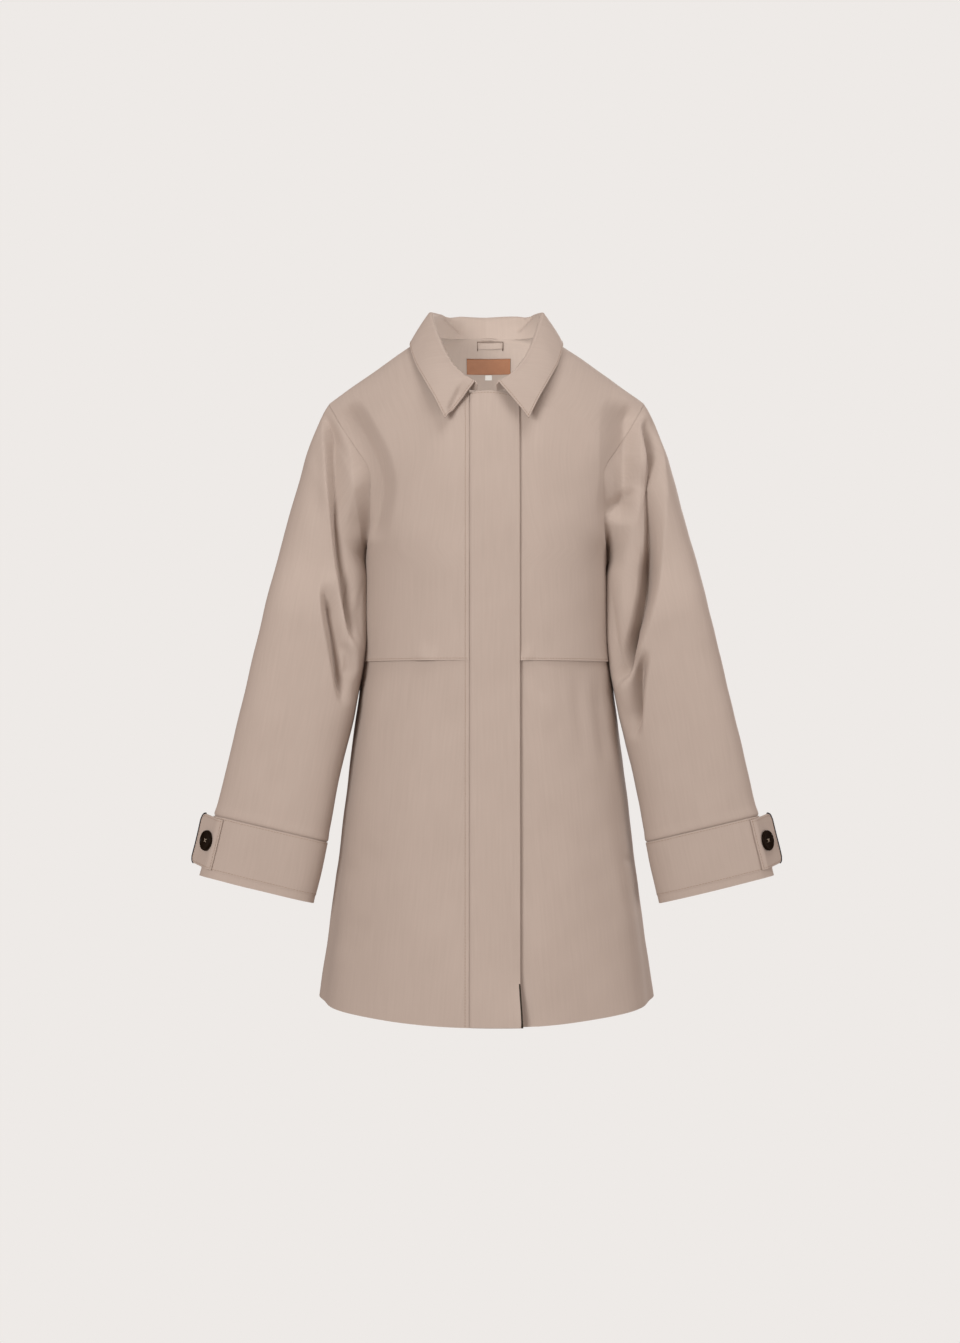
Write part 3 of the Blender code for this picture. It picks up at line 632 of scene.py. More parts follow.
# Fly placket: a double strip of twill sewn to the right front's edge. It covers the fastening, and
# its left edge is free and stands off the left front, more so at the hem.
PLACKET_EDGE_X = 39 * MM
PLACKET_PROUD = 1.3 * MM
PLACKET_WALL = 2.2 * MM
PLACKET_TUCK = 0.6 * MM
PLACKET_COLUMNS = 26
PLACKET_SINK = 0.3 * MM
PLACKET_ROUND = 1.3 * MM
HEM_GAPE = 7 * MM
HEM_GAPE_HEIGHT = 70 * MM
placket_rows = []
for at in body_rows(0, BODY_ROW["front neck"]):
    first, last = -share_at(at, PLACKET_SEAM_X + PLACKET_TUCK), share_at(at, PLACKET_EDGE_X)
    placket_rows.append(body_row(at, np.linspace(first, last, PLACKET_COLUMNS)))
placket_form = np.array(placket_rows)
hem_z = placket_form[0, 0, 2]
across = np.linspace(0, 1, PLACKET_COLUMNS)
gape = HEM_GAPE * across**2 * (1 - ease(placket_form[..., 2], hem_z, hem_z + HEM_GAPE_HEIGHT))
from_seam = edge_distance(placket_form, first=True)
tucked = (PLACKET_PROUD + CLOTH_WALL + PLACKET_SINK) * np.exp(-((from_seam / PLACKET_ROUND) ** 2))
placket_lift = PLACKET_PROUD + relief(placket_form, FRONT_CREASES) + slack(placket_form) + gape - tucked
placket_grid = lifted(placket_form, placket_lift)
placket = cloth_piece("placket_cloth", placket_grid, PLACKET_WALL, twill)
sewn_in("fly_placket")

# Sleeves: one tube of twill each, set into the armhole and turned at the seam. The arms hang a little
# forward, so the cloth breaks into long folds from the shoulder to the elbow and bunches at the underarm.
SleeveSection = namedtuple("SleeveSection", "name x y z half_width front back tilt pitch square")
SLEEVE = [
    SleeveSection("cap", 186.9, -12, -222.5, 76.5, 68, 74, 59, 0, 2.0),
    SleeveSection("biceps", 200, -28, -285.6, 57.5, 54, 73, 20, 0, 2.7),
    SleeveSection("upper", 209.7, -46, -362, 65, 50, 67, 13.6, 2, 2.9),
    SleeveSection("elbow", 227.1, -52, -449.7, 67.8, 44, 57, 13.7, 4, 2.8),
    SleeveSection("forearm", 247.7, -54, -537.1, 68.1, 40, 46, 13.9, 5, 2.5),
    SleeveSection("band top", 263.1, -54, -608.9, 70.3, 36, 37, 13.4, 6, 2.3),
    SleeveSection("band foot", 278.4, -54, -672.9, 71.4, 32.5, 33, 13.8, 6, 2.3),
    SleeveSection("sleeve hem", 280.6, -54, -682.1, 71.6, 32, 32, 13.8, 6, 2.3),
]
SEAM_GAP = 0.3 * MM
SEAM_TURN = 45 * MM
SEAM_TURN_SHARE = 0.6
UNDERARM_ROLL = 0.8
ROLL_FROM = -0.3
SEAM_ROWS_END = 0.06
# Rings are numbered from the armhole: 1 is just past the seam, and CAP is the first of the sections. A
# sleeve's own folds begin at OWN_FOLDS. The places below it are measured from the band's top or foot.
RING_STEPS = [3, 36, 20, 22, 24, 19, 17, 13, 3]
CAP, BAND_TOP, BAND_FOOT = 2, 7, 8
OWN_FOLDS = (0.95, 1.25)
TOP_RINGS = (-0.03, -0.018, -0.01, 0.01, 0.018)
FOOT_RINGS = (-0.1, -0.03, -0.01, 0.05)
LET_IN_TOP = (-0.035, 0.005)
LET_IN_FOOT = (-0.1, -0.01)
BLOUSE_RINGS = 0.07
BAND_LET_IN = 1.6 * MM
BAND_BLOUSE = 0.8 * MM
# A crease fades in as the cloth turns to its side, and so do the hollows beside the armholes.
FACING = 0.35
HOLLOW_FACING = 0.15
SLEEVE_CREASES = {
    "right": [
        Crease(
            "long valley",
            ((-199, -90), (-190, -160), (-182, -228), (-175, -286), (-165, -336), (-155, -384)),
            18, 15, 4.5, 0, 44, 0.8,
        ),
        Crease("outer shade", ((-211, -120), (-208, -180), (-203, -250)), 3, 10, 14, 0, 40),
        Crease("inner panel hollow", ((-166, -288), (-160, -340), (-155, -392)), 7, 8, 8, 0, 34),
        Crease("second valley", ((-196, -306), (-190, -354), (-183, -391), (-177, -427), (-171, -460)),
               21, 14, 4, 0, 36, 0.8),
        Crease("short fold", ((-175, -380), (-163, -399), (-161, -428)), 6, 4, 5, 0.4, 14, 0.5),
        Crease("forearm slack", ((-228, -470), (-248, -545), (-262, -600)), 1.4, 16, 20, 0, 50),
    ],
    "left": [
        Crease(
            "long valley",
            ((198, -96), (205, -150), (206, -190), (200, -258), (194, -310), (184, -348), (152, -438)),
            21, 8, 6, 0, 36, 0.8,
        ),
        Crease("inner panel", ((190, -150), (196, -190), (194, -258), (186, -310), (172, -356), (150, -438)),
               18, 8, 24, 0, 40, 0.8),
        Crease("valley foot", ((199, -258), (194, -310), (184, -348), (152, -438)), 16, 6, 9, 0, 44, 0.7),
        Crease("drag fold", ((132, -226), (158, -211), (182, -190)), 6, 6, 4, 0, 18, 0.4),
        Crease("elbow pocket", ((191, -388), (183, -438), (178, -500)), 26, 4, 13, 0, 34, 0.7),
        Crease("forearm slack", ((236, -450), (252, -520), (272, -600)), 1.4, 18, 16, 0, 50),
    ],
}
SLEEVE_BACK_CREASES = {
    "right": [
        Crease("back valley", ((-190, -190), (-196, -262), (-214, -340)), 5, 12, 9, 1.0, 50),
        Crease("elbow crease", ((-262, -410), (-232, -432), (-196, -438)), 3.5, 7, 10, 0.8, 26),
        Crease("elbow crease low", ((-272, -462), (-244, -474), (-214, -472)), 2.6, 8, 8, 0.5, 24),
    ],
    "left": [
        Crease("back valley", ((186, -196), (198, -272), (222, -352)), 5, 9, 12, 1.0, 50),
        Crease("elbow crease", ((264, -398), (236, -420), (202, -430)), 3.2, 9, 7, 0.7, 26),
        Crease("elbow crease low", ((276, -470), (250, -480), (222, -474)), 2.4, 8, 9, 0.5, 24),
    ],
}


def sleeve_ring(section, angles):
    """Points round one sleeve section at angles from the underarm over the front."""
    tilt, pitch = math.radians(section.tilt), math.radians(section.pitch)
    outward = np.array([math.cos(tilt), 0, math.sin(tilt)])
    forward = np.array([0, -math.cos(pitch), math.sin(pitch)])
    centre = np.array([section.x, section.y, section.z])
    sine, cosine = np.sin(angles), np.cos(angles)
    size = (np.abs(sine) ** section.square + np.abs(cosine) ** section.square) ** (1 / section.square)
    across = -(cosine / size * section.half_width)[:, None] * outward
    ahead = sine / size * np.where(sine > 0, section.front, section.back)
    return (centre + across + ahead[:, None] * forward) * MM


def doubled(ring):
    """A closed ring of points with one more between each two."""
    return np.stack([ring, (ring + np.roll(ring, -1, axis=0)) / 2], axis=1).reshape(-1, 3)


def armhole(front, back, column):
    """A closed line through one column of the panels round an armhole on the wearer's left."""
    return doubled(np.concatenate([front[underarm:, column], back[1:back_under, column]]))


def sleeve_form(points, inner):
    """Smooth rings of a sleeve on the wearer's left from an armhole's edge to the hem."""
    along = np.roll(points, -1, axis=0) - np.roll(points, 1, axis=0)
    normals = unit(np.cross(points - inner, along))
    normals[0] = (1, 0, 0)
    onward = unit(np.cross(along, normals))
    lengths = np.linalg.norm(np.roll(points, -1, axis=0) - points, axis=1)
    shoulder = 2 * (len(front_numbers) - 1 - underarm)
    up, over = np.cumsum(lengths[:shoulder]), np.cumsum(lengths[shoulder:])
    angles = np.concatenate([[0], math.pi * up / up[-1], math.pi * (1 + over[:-1] / over[-1])])
    rings = [sleeve_ring(section, angles) for section in SLEEVE]
    first = points + onward * SEAM_GAP
    reach = np.linalg.norm(rings[0] - first, axis=1, keepdims=True)
    toward = (rings[0] - first) / reach
    back_on_itself = ease(-np.sum(onward * toward, axis=1, keepdims=True), ROLL_FROM, 1)
    way = unit(onward + toward) + normals * UNDERARM_ROLL * back_on_itself
    leave = way * np.minimum(SEAM_TURN_SHARE * reach, SEAM_TURN)
    arrive = unit(rings[1] - rings[0]) * reach
    form = []
    for number in ring_numbers:
        if number < CAP:
            t = np.interp(number, [0, 1, CAP], [0, SEAM_ROWS_END, 1])
            form.append(curve_between(first, leave, rings[0], arrive, t))
        else:
            form.append(smooth(rings, number - CAP))
    return np.array(form), angles


def on_side(grid, side):
    """A ring's grid made for the wearer's left, put on its side with its outer face outwards."""
    return grid * MIRROR if side == "right" else grid[:, ::-1]


ring_numbers = [ring + step / steps for ring, steps in enumerate(RING_STEPS) for step in range(steps)]
ring_numbers += [BAND_TOP + step for step in TOP_RINGS] + [BAND_FOOT + step for step in FOOT_RINGS]
ring_numbers = np.array(sorted(ring_numbers) + [float(len(RING_STEPS))])
own = ease(ring_numbers, *OWN_FOLDS)[:, None]
under_band = ease(ring_numbers - BAND_TOP, *LET_IN_TOP) * (1 - ease(ring_numbers - BAND_FOOT, *LET_IN_FOOT))
blouse = np.exp(-(((ring_numbers - BAND_TOP + BLOUSE_RINGS) / BLOUSE_RINGS) ** 2))
back_under = row_of("back underarm", back_numbers)
sleeve_forms, ring_angles = {}, {}
for side in ("right", "left"):
    panels = [front_forms[side], back_form, front_full[side], back_grid]
    front, rear, creased_front, creased_rear = [for_side(panel, side) for panel in panels]
    edge = armhole(front, rear, -1)
    base, ring_angles[side] = sleeve_form(edge, armhole(front, rear, -4))
    base = base + (1 - own)[..., None] * (armhole(creased_front, creased_rear, -1) - edge)
    form = sleeve_forms[side] = on_side(base, side)
    out = normals_of(form, ring=True)
    lift = relief(form, SLEEVE_CREASES[side]) * ease(-out[..., 1], 0, FACING)
    lift += relief(form, SLEEVE_BACK_CREASES[side]) * ease(out[..., 1], 0, FACING)
    lift = (lift + slack(form)) * own
    lift += (BAND_BLOUSE * blouse - BAND_LET_IN * under_band)[:, None]
    ahead = np.sin(ring_angles[side] if side == "right" else ring_angles[side][::-1])
    grid = hollowed(form + out * lift[..., None], ease(ahead, 0, HOLLOW_FACING))
    sleeve = cloth_piece(f"sleeve_cloth_{side}", grid, CLOTH_WALL, twill, ring=True)
    sewn_in(f"sleeve_{side}")

# Cuff bands: a strip of twill laid round each sleeve above its hem and stitched along both edges.
BAND_WALL = 1.4 * MM
BAND_PROUD = 0.7 * MM
BAND_FOOT_PROUD = 0.35 * MM
band_rows = np.flatnonzero((ring_numbers >= BAND_TOP) & (ring_numbers <= BAND_FOOT))
band_grids = {}
for side in ("right", "left"):
    form = sleeve_forms[side]
    down = np.clip(ring_numbers - BAND_TOP, 0, 1)[:, None]
    lift = BAND_PROUD + (BAND_FOOT_PROUD - BAND_PROUD) * down**2 + slack(form)
    band_grids[side] = lifted(form, lift, ring=True)[band_rows]
    band = cloth_piece(f"cuff_band_cloth_{side}", band_grids[side], BAND_WALL, twill, ring=True)
    sewn_in(f"cuff_band_{side}")

# Cuff tabs: a stiff double strap of twill sewn to each band near its outer side, turned off the sleeve
# and rounded at its free end, where a dark cord edges it.
TAB_WALL = 2.0 * MM
TAB_OFF = 0.3 * MM
TAB_ROOT_ANGLE = 138
TAB_ROOT = 7 * MM
TAB_LIFT = 1.0 * MM
TAB_LENGTH = 38 * MM
TAB_TURN = 52
TAB_INSET = 0.04
TAB_CORNER = 8 * MM
TAB_ROWS = 24
TAB_STEPS = 5
TAB_PLACES = (0.25, 0.5, 0.75, 1.0)
PIPING_RADIUS = 1.4 * MM
PIPING_FROM = 0.87
PIPING_COLOUR = "#24232B"
CORD_TWIST = 1.5 * MM
PLY_SHADE = 0.8
# A direction that no cord runs along.
ASKEW = (0.3, 0.5, 0.8)


def cord(name, lines, radius, material, sides=8):
    """Round cords or threads along lines of points, as one piece."""
    vertices, faces = [], []
    turns = np.arange(sides) * 2 * math.pi / sides
    for line in lines:
        ways = unit(np.gradient(line, axis=0))
        beside = unit(np.cross(ways[0], ASKEW))
        first = len(vertices)
        for point, way in zip(line, ways):
            beside = unit(beside - way * np.dot(beside, way))
            ring = np.outer(np.cos(turns), beside) + np.outer(np.sin(turns), np.cross(way, beside))
            vertices += list(point + radius * ring)
        for step in range(len(line) - 1):
            low, high = first + step * sides, first + (step + 1) * sides
            for turn in range(sides):
                beyond = (turn + 1) % sides
                faces.append((low + turn, low + beyond, high + beyond, high + turn))
        faces.append(tuple(range(first + sides - 1, first - 1, -1)))
        faces.append(tuple(range(len(vertices) - sides, len(vertices))))
    return add_piece(name, vertices, faces, material)


def twisted_thread(name, colour, twist):
    """Matt thread whose plies show as fine bands."""
    material, tree, shader = plain_material(name, roughness=0.7, ior=1.5, specular=0.3)
    ply = noise(tree, add_node(tree, "ShaderNodeTexCoord", "Object", {}), 1 / twist, 2.0)
    two_tone(tree, shader, ply, darker(colour, PLY_SHADE), linear(colour))
    return material


piping_thread = twisted_thread("dark_piping", PIPING_COLOUR, CORD_TWIST)
tab_grids, tab_spots = {}, {}
for side in ("right", "left"):
    band = on_side(band_grids[side], side)
    over = on_side(normals_of(band_grids[side], ring=True), side)
    band = band + over * (TAB_OFF + TAB_WALL)
    first = int(np.argmin(np.abs(ring_angles[side] - math.radians(TAB_ROOT_ANGLE))))
    tilt, turn = math.radians(SLEEVE[-1].tilt), math.radians(TAB_TURN)
    on = np.array([math.cos(turn) * math.cos(tilt), math.sin(turn), math.cos(turn) * math.sin(tilt)])
    off = np.array([math.sin(turn) * math.cos(tilt), -math.cos(turn), math.sin(turn) * math.sin(tilt)])
    shares = np.linspace(TAB_INSET, 1 - TAB_INSET, TAB_ROWS + 1)
    places = np.interp(BAND_TOP + shares, ring_numbers[band_rows], np.arange(len(band)))
    rows = np.array([smooth(band, place) for place in places])
    along = np.linalg.norm(np.diff(rows.mean(axis=0)[first:], axis=0), axis=1).cumsum()
    bend = first + 1 + int(np.argmin(np.abs(along - TAB_ROOT)))
    root_line, bend_line = rows[:, first], rows[:, bend] + off * TAB_LIFT
    path = [root_line, rows[:, (first + bend) // 2] + off * TAB_LIFT / 3, bend_line]
    path += [bend_line + on * TAB_LENGTH * share for share in TAB_PLACES]
    tab = smooth_line(path, TAB_STEPS).swapaxes(0, 1)
    middle = tab.mean(axis=0, keepdims=True)
    left_over = np.linalg.norm(tab[:, -1:] - tab, axis=2).mean(axis=0)
    half = np.linalg.norm(tab[0, 0] - tab[-1, 0]) / 2
    into = np.clip(TAB_CORNER - left_over, 0, TAB_CORNER)
    narrow = (half - TAB_CORNER + np.sqrt(TAB_CORNER**2 - into**2)) / half
    tab = middle + (tab - middle) * narrow[None, :, None]
    free = int(PIPING_FROM * (tab.shape[1] - 1))
    end = np.concatenate([tab[0, free:], tab[1:-1, -1], tab[-1, :free:-1]])
    spot, up = bend_line.mean(axis=0), unit(root_line[0] - root_line[-1])
    if side == "right":
        spot, up, on, end = (part * MIRROR for part in (spot, up, on, end))
    face = unit(np.cross(up, on))
    face = face if face[1] < 0 else -face
    tab_spots[side] = spot, up, on, face
    tab_grids[side] = on_side(tab, side)
    tab_piece = cloth_piece(f"cuff_tab_cloth_{side}", tab_grids[side], TAB_WALL, twill)
    sewn_in(f"cuff_tab_{side}")
    piping = end - face * TAB_WALL / 2 + on * PIPING_RADIUS
    cord(f"tab_piping_{side}", [piping], PIPING_RADIUS, piping_thread)

# Placket foot: a dark brown cord along the placket's free edge near the hem, painted shade for the gap where
# # that edge stands off the coat. It comes out from behind the edge towards the hem.
FOOT_SHADE_CORD_COLOUR = "#30271C"
FOOT_CORD_RADIUS = 1.2 * MM
FOOT_CORD_HEIGHT = 54 * MM
FOOT_CORD_BEHIND = 0.8 * MM
FOOT_CORD_SHOWN = (0.9, -1.1)
foot_edge = placket_grid[placket_grid[:, -1, 2] < hem_z + FOOT_CORD_HEIGHT, -1]
shown = np.linspace(*FOOT_CORD_SHOWN, len(foot_edge)) * FOOT_CORD_RADIUS
foot_edge = foot_edge + np.outer(shown, [1, 0, 0]) + [0, FOOT_CORD_BEHIND, 0]
# The cord's dark brown is painted shade: the shadow in the gap under the placket's foot.
foot_shade_cord = twisted_thread("brown_cord", FOOT_SHADE_CORD_COLOUR, CORD_TWIST)
cord("placket_foot_painted_shade", [foot_edge], FOOT_CORD_RADIUS, foot_shade_cord)

# Buttons: four-hole coat buttons of dark horn-like plastic, turned with a rim and a sunk middle and
# sewn through the tabs with pale thread.
BUTTON_ALONG = 12.4 * MM
BUTTON_UP = 5.2 * MM
BUTTON_PROFILE = [
    (0, 0), (11.3, 0), (12.1, 0.4), (12.5, 1.3), (12.5, 2.5), (12.1, 3.4), (11.3, 3.9), (10.5, 4.0),
    (9.9, 3.7), (9.4, 3.1), (8.7, 2.7), (4.5, 2.5), (0, 2.4),
]
BUTTON_SEGMENTS = 64
HOLE_RADIUS = 1.1 * MM
HOLE_OUT = 2.6 * MM
HOLE_SIDES = 16
DRILL_FROM, DRILL_TO = -2 * MM, 6 * MM
SHANK = 0.4 * MM
BUTTON_COLOURS = ("#0F0600", "#1C0F04")
BUTTON_CLOUD = 160.0
BUTTON_THREAD = "#A0917F"
THREAD_TWIST = 0.8 * MM
SEW_RADIUS = 0.5 * MM
SEW_FOOT = 1 * MM
SEW_HEIGHT = 3.0 * MM
SEW_IN = 0.9

horn, tree, shader = plain_material("dark_horn_plastic", roughness=0.45, ior=1.54, specular=0.06)
cloud = noise(tree, add_node(tree, "ShaderNodeTexCoord", "Object", {}), BUTTON_CLOUD, 4.0)
two_tone(tree, shader, cloud, linear(BUTTON_COLOURS[0]), linear(BUTTON_COLOURS[1]))
button_thread = twisted_thread("button_thread", BUTTON_THREAD, THREAD_TWIST)
vertices, faces = [(0, 0, BUTTON_PROFILE[0][1] * MM)], []
rims = BUTTON_PROFILE[1:-1]
for radius, height in rims:
    for segment in range(BUTTON_SEGMENTS):
        angle = 2 * math.pi * segment / BUTTON_SEGMENTS
        vertices.append((radius * MM * math.cos(angle), radius * MM * math.sin(angle), height * MM))
vertices.append((0, 0, BUTTON_PROFILE[-1][1] * MM))
for segment in range(BUTTON_SEGMENTS):
    beyond = (segment + 1) % BUTTON_SEGMENTS
    faces.append((0, 1 + beyond, 1 + segment))
    for rim in range(len(rims) - 1):
        low, high = 1 + rim * BUTTON_SEGMENTS, 1 + (rim + 1) * BUTTON_SEGMENTS
        faces.append((low + segment, low + beyond, high + beyond, high + segment))
    faces.append((high + segment, high + beyond, len(vertices) - 1))
holes = []
for quarter in range(4):
    angle = math.pi * (quarter + 0.5) / 2
    holes.append(np.array([HOLE_OUT * math.cos(angle), HOLE_OUT * math.sin(angle), 0]))
drills = [np.array([hole + [0, 0, DRILL_FROM], hole + [0, 0, DRILL_TO]]) for hole in holes]
for side in ("right", "left"):
    bend_spot, up, on, face = tab_spots[side]
    upright = unit(up - face * np.dot(up, face))
    place = bend_spot + on * BUTTON_ALONG + up * BUTTON_UP + face * SHANK
    axes = np.array([np.cross(upright, face), upright, face])
    button = add_piece(f"button_{side}", np.array(vertices) @ axes + place, faces, horn)
    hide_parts(f"cuff_button_{side}")
    cutter = cord("drill", [drill @ axes + place for drill in drills], HOLE_RADIUS, horn, HOLE_SIDES)
    cut = button.modifiers.new("holes", "BOOLEAN")
    cut.operation = "DIFFERENCE"
    cut.solver = "EXACT"
    cut.object = cutter
    bored = bpy.data.meshes.new_from_object(button.evaluated_get(bpy.context.evaluated_depsgraph_get()))
    button.modifiers.clear()
    button.data = bored
    bpy.data.objects.remove(cutter, do_unlink=True)
    threads = []
    for one, two in ((0, 2), (1, 3)):
        span = [holes[one] + [0, 0, SEW_FOOT], holes[one] * SEW_IN + [0, 0, SEW_HEIGHT]]
        span += [holes[two] * SEW_IN + [0, 0, SEW_HEIGHT], holes[two] + [0, 0, SEW_FOOT]]
        threads.append(np.array(span) @ axes + place)
    cord(f"button_sewing_{side}", threads, SEW_RADIUS, button_thread)

# Collar: stand and fall cut in one from two layers of twill, sewn into the neck and turned over a soft
# roll. The wearer's right leaf is folded on itself near the front.
COLLAR_WALL = 1.6 * MM
COLLAR_OFF = 0.5 * MM
COLLAR_DEEP = 1 * MM
ROLL_WIDTH = 7 * MM
ROLL_DROP = 4 * MM
FALL_BELLY = 1 * MM
FALL_SHARES = (0.35, 0.7, 1.0)
STATION_STEPS = 12
ACROSS_STEPS = 7
# Points across the collar, counted from its seam: the top of the roll, and the start of the fall.
CROWN, OVER = 3, 4
Station = namedtuple("Station", "name at roll_x roll_y roll_z edge_x edge_y edge_z")
COLLAR = [
    Station("front end", 8.45, 11, -94, -69, 50, -113, -115),
    Station("front leaf", 9.0, 27, -88, -58, 62, -102, -90),
    Station("front side", 9.6, 45, -68, -34, 75, -81, -65),
    Station("neck side", 10.4, 60, -36, 4, 88, -48, -37),
    Station("shoulder", 11, 67, 0, 31, 95, -7, -8),
    Station("neck side back", 12, 59, 38, 37, 86, 48, 2),
    Station("back side", 13, 34, 63, 39, 50, 80, -9),
    Station("back", 14, 0, 72, 40, 0, 88, -14),
]
LEAF_CREASES = [
    Crease("right leaf fold", ((-22, -56), (-34, -80), (-48, -110)), 7, 10, 2.4, 0, 12, 0.7),
    Crease("right leaf belly", ((-50, -56), (-58, -76), (-58, -92)), -1.2, 14, 14, 0, 20),
    Crease("left leaf belly", ((46, -56), (56, -78), (54, -96)), -1.6, 16, 16, 0, 20),
]
STAND_CREASES = [
    Crease("right corner fold", ((-58, 38), (-45, 29), (-27, 15)), 5, 9, 3, 0, 10, 0.6),
    Crease("left corner fold", ((62, 38), (51, 30), (36, 17)), 4.5, 3, 8, 0, 10, 0.6),
]


def lengths_along(line):
    """How far along a line of points each one lies."""
    return np.append(0, np.cumsum(np.linalg.norm(np.diff(line[:, :3], axis=0), axis=1)))


stations = np.array([station[1:] for station in COLLAR], float)
stations[:, 1:] *= MM
half = []
for at, *places in smooth_line(stations, STATION_STEPS, lengths_along(stations[:, 1:])):
    roll, edge = np.array(places[:3]), np.array(places[3:])
    out = unit((edge - roll) * [1, 1, 0])
    seam = body_row(at, [0.0])[0] + out * COLLAR_OFF - [0, 0, COLLAR_DEEP]
    down = np.array([0, 0, ROLL_DROP])
    over = roll + out * ROLL_WIDTH - down
    path = [seam, (seam + roll - down) / 2, roll - down, roll + out * ROLL_WIDTH / 2, over]
    for share in FALL_SHARES:
        path.append(over + (edge - over) * share + out * FALL_BELLY * math.sin(math.pi * share))
    half.append(smooth_line(path, ACROSS_STEPS))
half = np.array(half)
collar_form = np.concatenate([(half * MIRROR)[:-1], half[::-1]]).transpose(1, 0, 2)
on_fall = ease(np.arange(len(collar_form)), OVER * ACROSS_STEPS, (OVER + 1) * ACROSS_STEPS)[:, None]
collar_lift = relief(collar_form, LEAF_CREASES) * on_fall + slack(collar_form)
collar_lift += relief(collar_form, STAND_CREASES) * (1 - on_fall)
collar_grid = lifted(collar_form, collar_lift)
collar = cloth_piece("collar_cloth", collar_grid, COLLAR_WALL, twill, centred=True)
sewn_in("collar")

# Neck label: a bare patch of tan leather sewn flat on the inside of the back.
Patch = namedtuple("Patch", "x width top foot thick")
LABEL = Patch(3, 57, -13, -31.8, 1.2)
LABEL_COLUMNS = 24
PATCH_ROWS = 8
INSIDE_GAP = 0.8 * MM
HALVINGS = 40
ROW_STEP = 0.05
LEATHER_COLOURS = ("#8B5733", "#9E6740")
LEATHER_CLOUD = 120.0
GRAIN = 0.9 * MM


def inside_back(x, z):
    """A point on the inside of the back's wall near the neck, and the direction into the coat there."""
    low, high = float(BODY_ROW["back neck"]), float(BODY_ROW["cross back"])
    for _ in range(HALVINGS):
        middle = (low + high) / 2
        point = body_row(middle, [share_at(middle, abs(x))])[0]
        low, high = (middle, high) if point[2] > z else (low, middle)
    below = body_row(middle + ROW_STEP, [share_at(middle + ROW_STEP, abs(x))])[0]
    beside = body_row(middle, [share_at(middle, abs(x) + MM)])[0]
    inward = unit(np.cross(below - point, beside - point))
    sign = np.array([math.copysign(1, x), 1, 1])
    return point * sign + inward * sign * CLOTH_WALL, inward * sign


def inside_patch(patch, columns, stand=0.0):
    """Grid of a flat piece on the inside of the back; its middle stands off by stand."""
    grid = []
    for z in np.linspace(patch.foot, patch.top, PATCH_ROWS + 1):
        row = []
        for share in np.linspace(0, 1, columns + 1):
            point, inward = inside_back((patch.x + patch.width * (share - 0.5)) * MM, z * MM)
            off = INSIDE_GAP + patch.thick * MM + stand * math.sin(math.pi * share) ** 0.5
            row.append(point + inward * off)
        grid.append(row)
    return np.array(grid)


leather, tree, shader = plain_material("tan_leather", roughness=0.55, ior=1.5, specular=0.4)
hide = add_node(tree, "ShaderNodeTexCoord", "UV", {})
pores = add_node(tree, "ShaderNodeTexVoronoi", "Distance", {"Vector": hide, "Scale": 1 / GRAIN})
tone = noise(tree, hide, LEATHER_CLOUD, 4.0)
two_tone(tree, shader, tone, linear(LEATHER_COLOURS[0]), linear(LEATHER_COLOURS[1]))
roughened(tree, shader, pores, strength=0.3, distance=0.1 * MM)
label_grid = inside_patch(LABEL, LABEL_COLUMNS)
label = cloth_piece("label_leather", label_grid, LABEL.thick * MM, leather)
sewn_in("neck_label")

# Size tab: a bare end of white woven tape caught under the label's lower edge.
SIZE_TAB = Patch(3, 9, -32.2, -38.6, 1.0)
SIZE_TAB_COLUMNS = 8
TAPE_COLOUR = "#EDEAE4"
TAPE_SHADE = 0.85
TAPE_RIB = 0.8 * MM
tape, tree, shader = plain_material("white_woven_tape", roughness=0.8, ior=1.5, specular=0.25)
strip = add_node(tree, "ShaderNodeTexCoord", "UV", {})
rib = add_node(tree, "ShaderNodeTexWave", "Fac", {"Vector": strip, "Scale": WAVE_SPACING / TAPE_RIB})
two_tone(tree, shader, rib, darker(TAPE_COLOUR, TAPE_SHADE), linear(TAPE_COLOUR))
tab_grid = inside_patch(SIZE_TAB, SIZE_TAB_COLUMNS)
size_tab = cloth_piece("size_tab_tape", tab_grid, SIZE_TAB.thick * MM, tape)
sewn_in("size_tab")

# Hanger loop: a narrow folded strip of twill sewn in at both ends below the collar seam, with a bar of
# dark stitching across each end.
LOOP = Patch(5, 34, 7, 0, 1.2)
LOOP_STAND = 4 * MM
LOOP_COLUMNS = 24
BAR_RADIUS = 0.6 * MM
BAR_TOP, BAR_FOOT = 8, -3
BAR_POINTS = 5
BAR_INSET = 0.5
BAR_COLOUR = "#5E4A3E"
loop_grid = inside_patch(LOOP, LOOP_COLUMNS, LOOP_STAND)
loop = cloth_piece("hanger_loop_cloth", loop_grid, LOOP.thick * MM, twill)
sewn_in("hanger_loop")
bar_thread = twisted_thread("dark_thread", BAR_COLOUR, THREAD_TWIST)
bars = []
for end in (-0.5, 0.5):
    x = LOOP.x + (LOOP.width - 2 * BAR_INSET) * end
    line = []
    for z in np.linspace(BAR_FOOT, BAR_TOP, BAR_POINTS):
        point, inward = inside_back(x * MM, z * MM)
        line.append(point + inward * (INSIDE_GAP + LOOP.thick * MM))
    bars.append(np.array(line))
cord("loop_bars", bars, BAR_RADIUS, bar_thread)

# Stitching: matching thread in rows of short stitches along the collar's edge, the top of the placket and
# the seam beside it, the flaps' lower edges, the cuff bands and the tabs.
STITCH_LENGTH = 2.8 * MM
STITCH_GAP = 0.9 * MM
STITCH_RADIUS = 0.28 * MM
STITCH_SIDES = 5
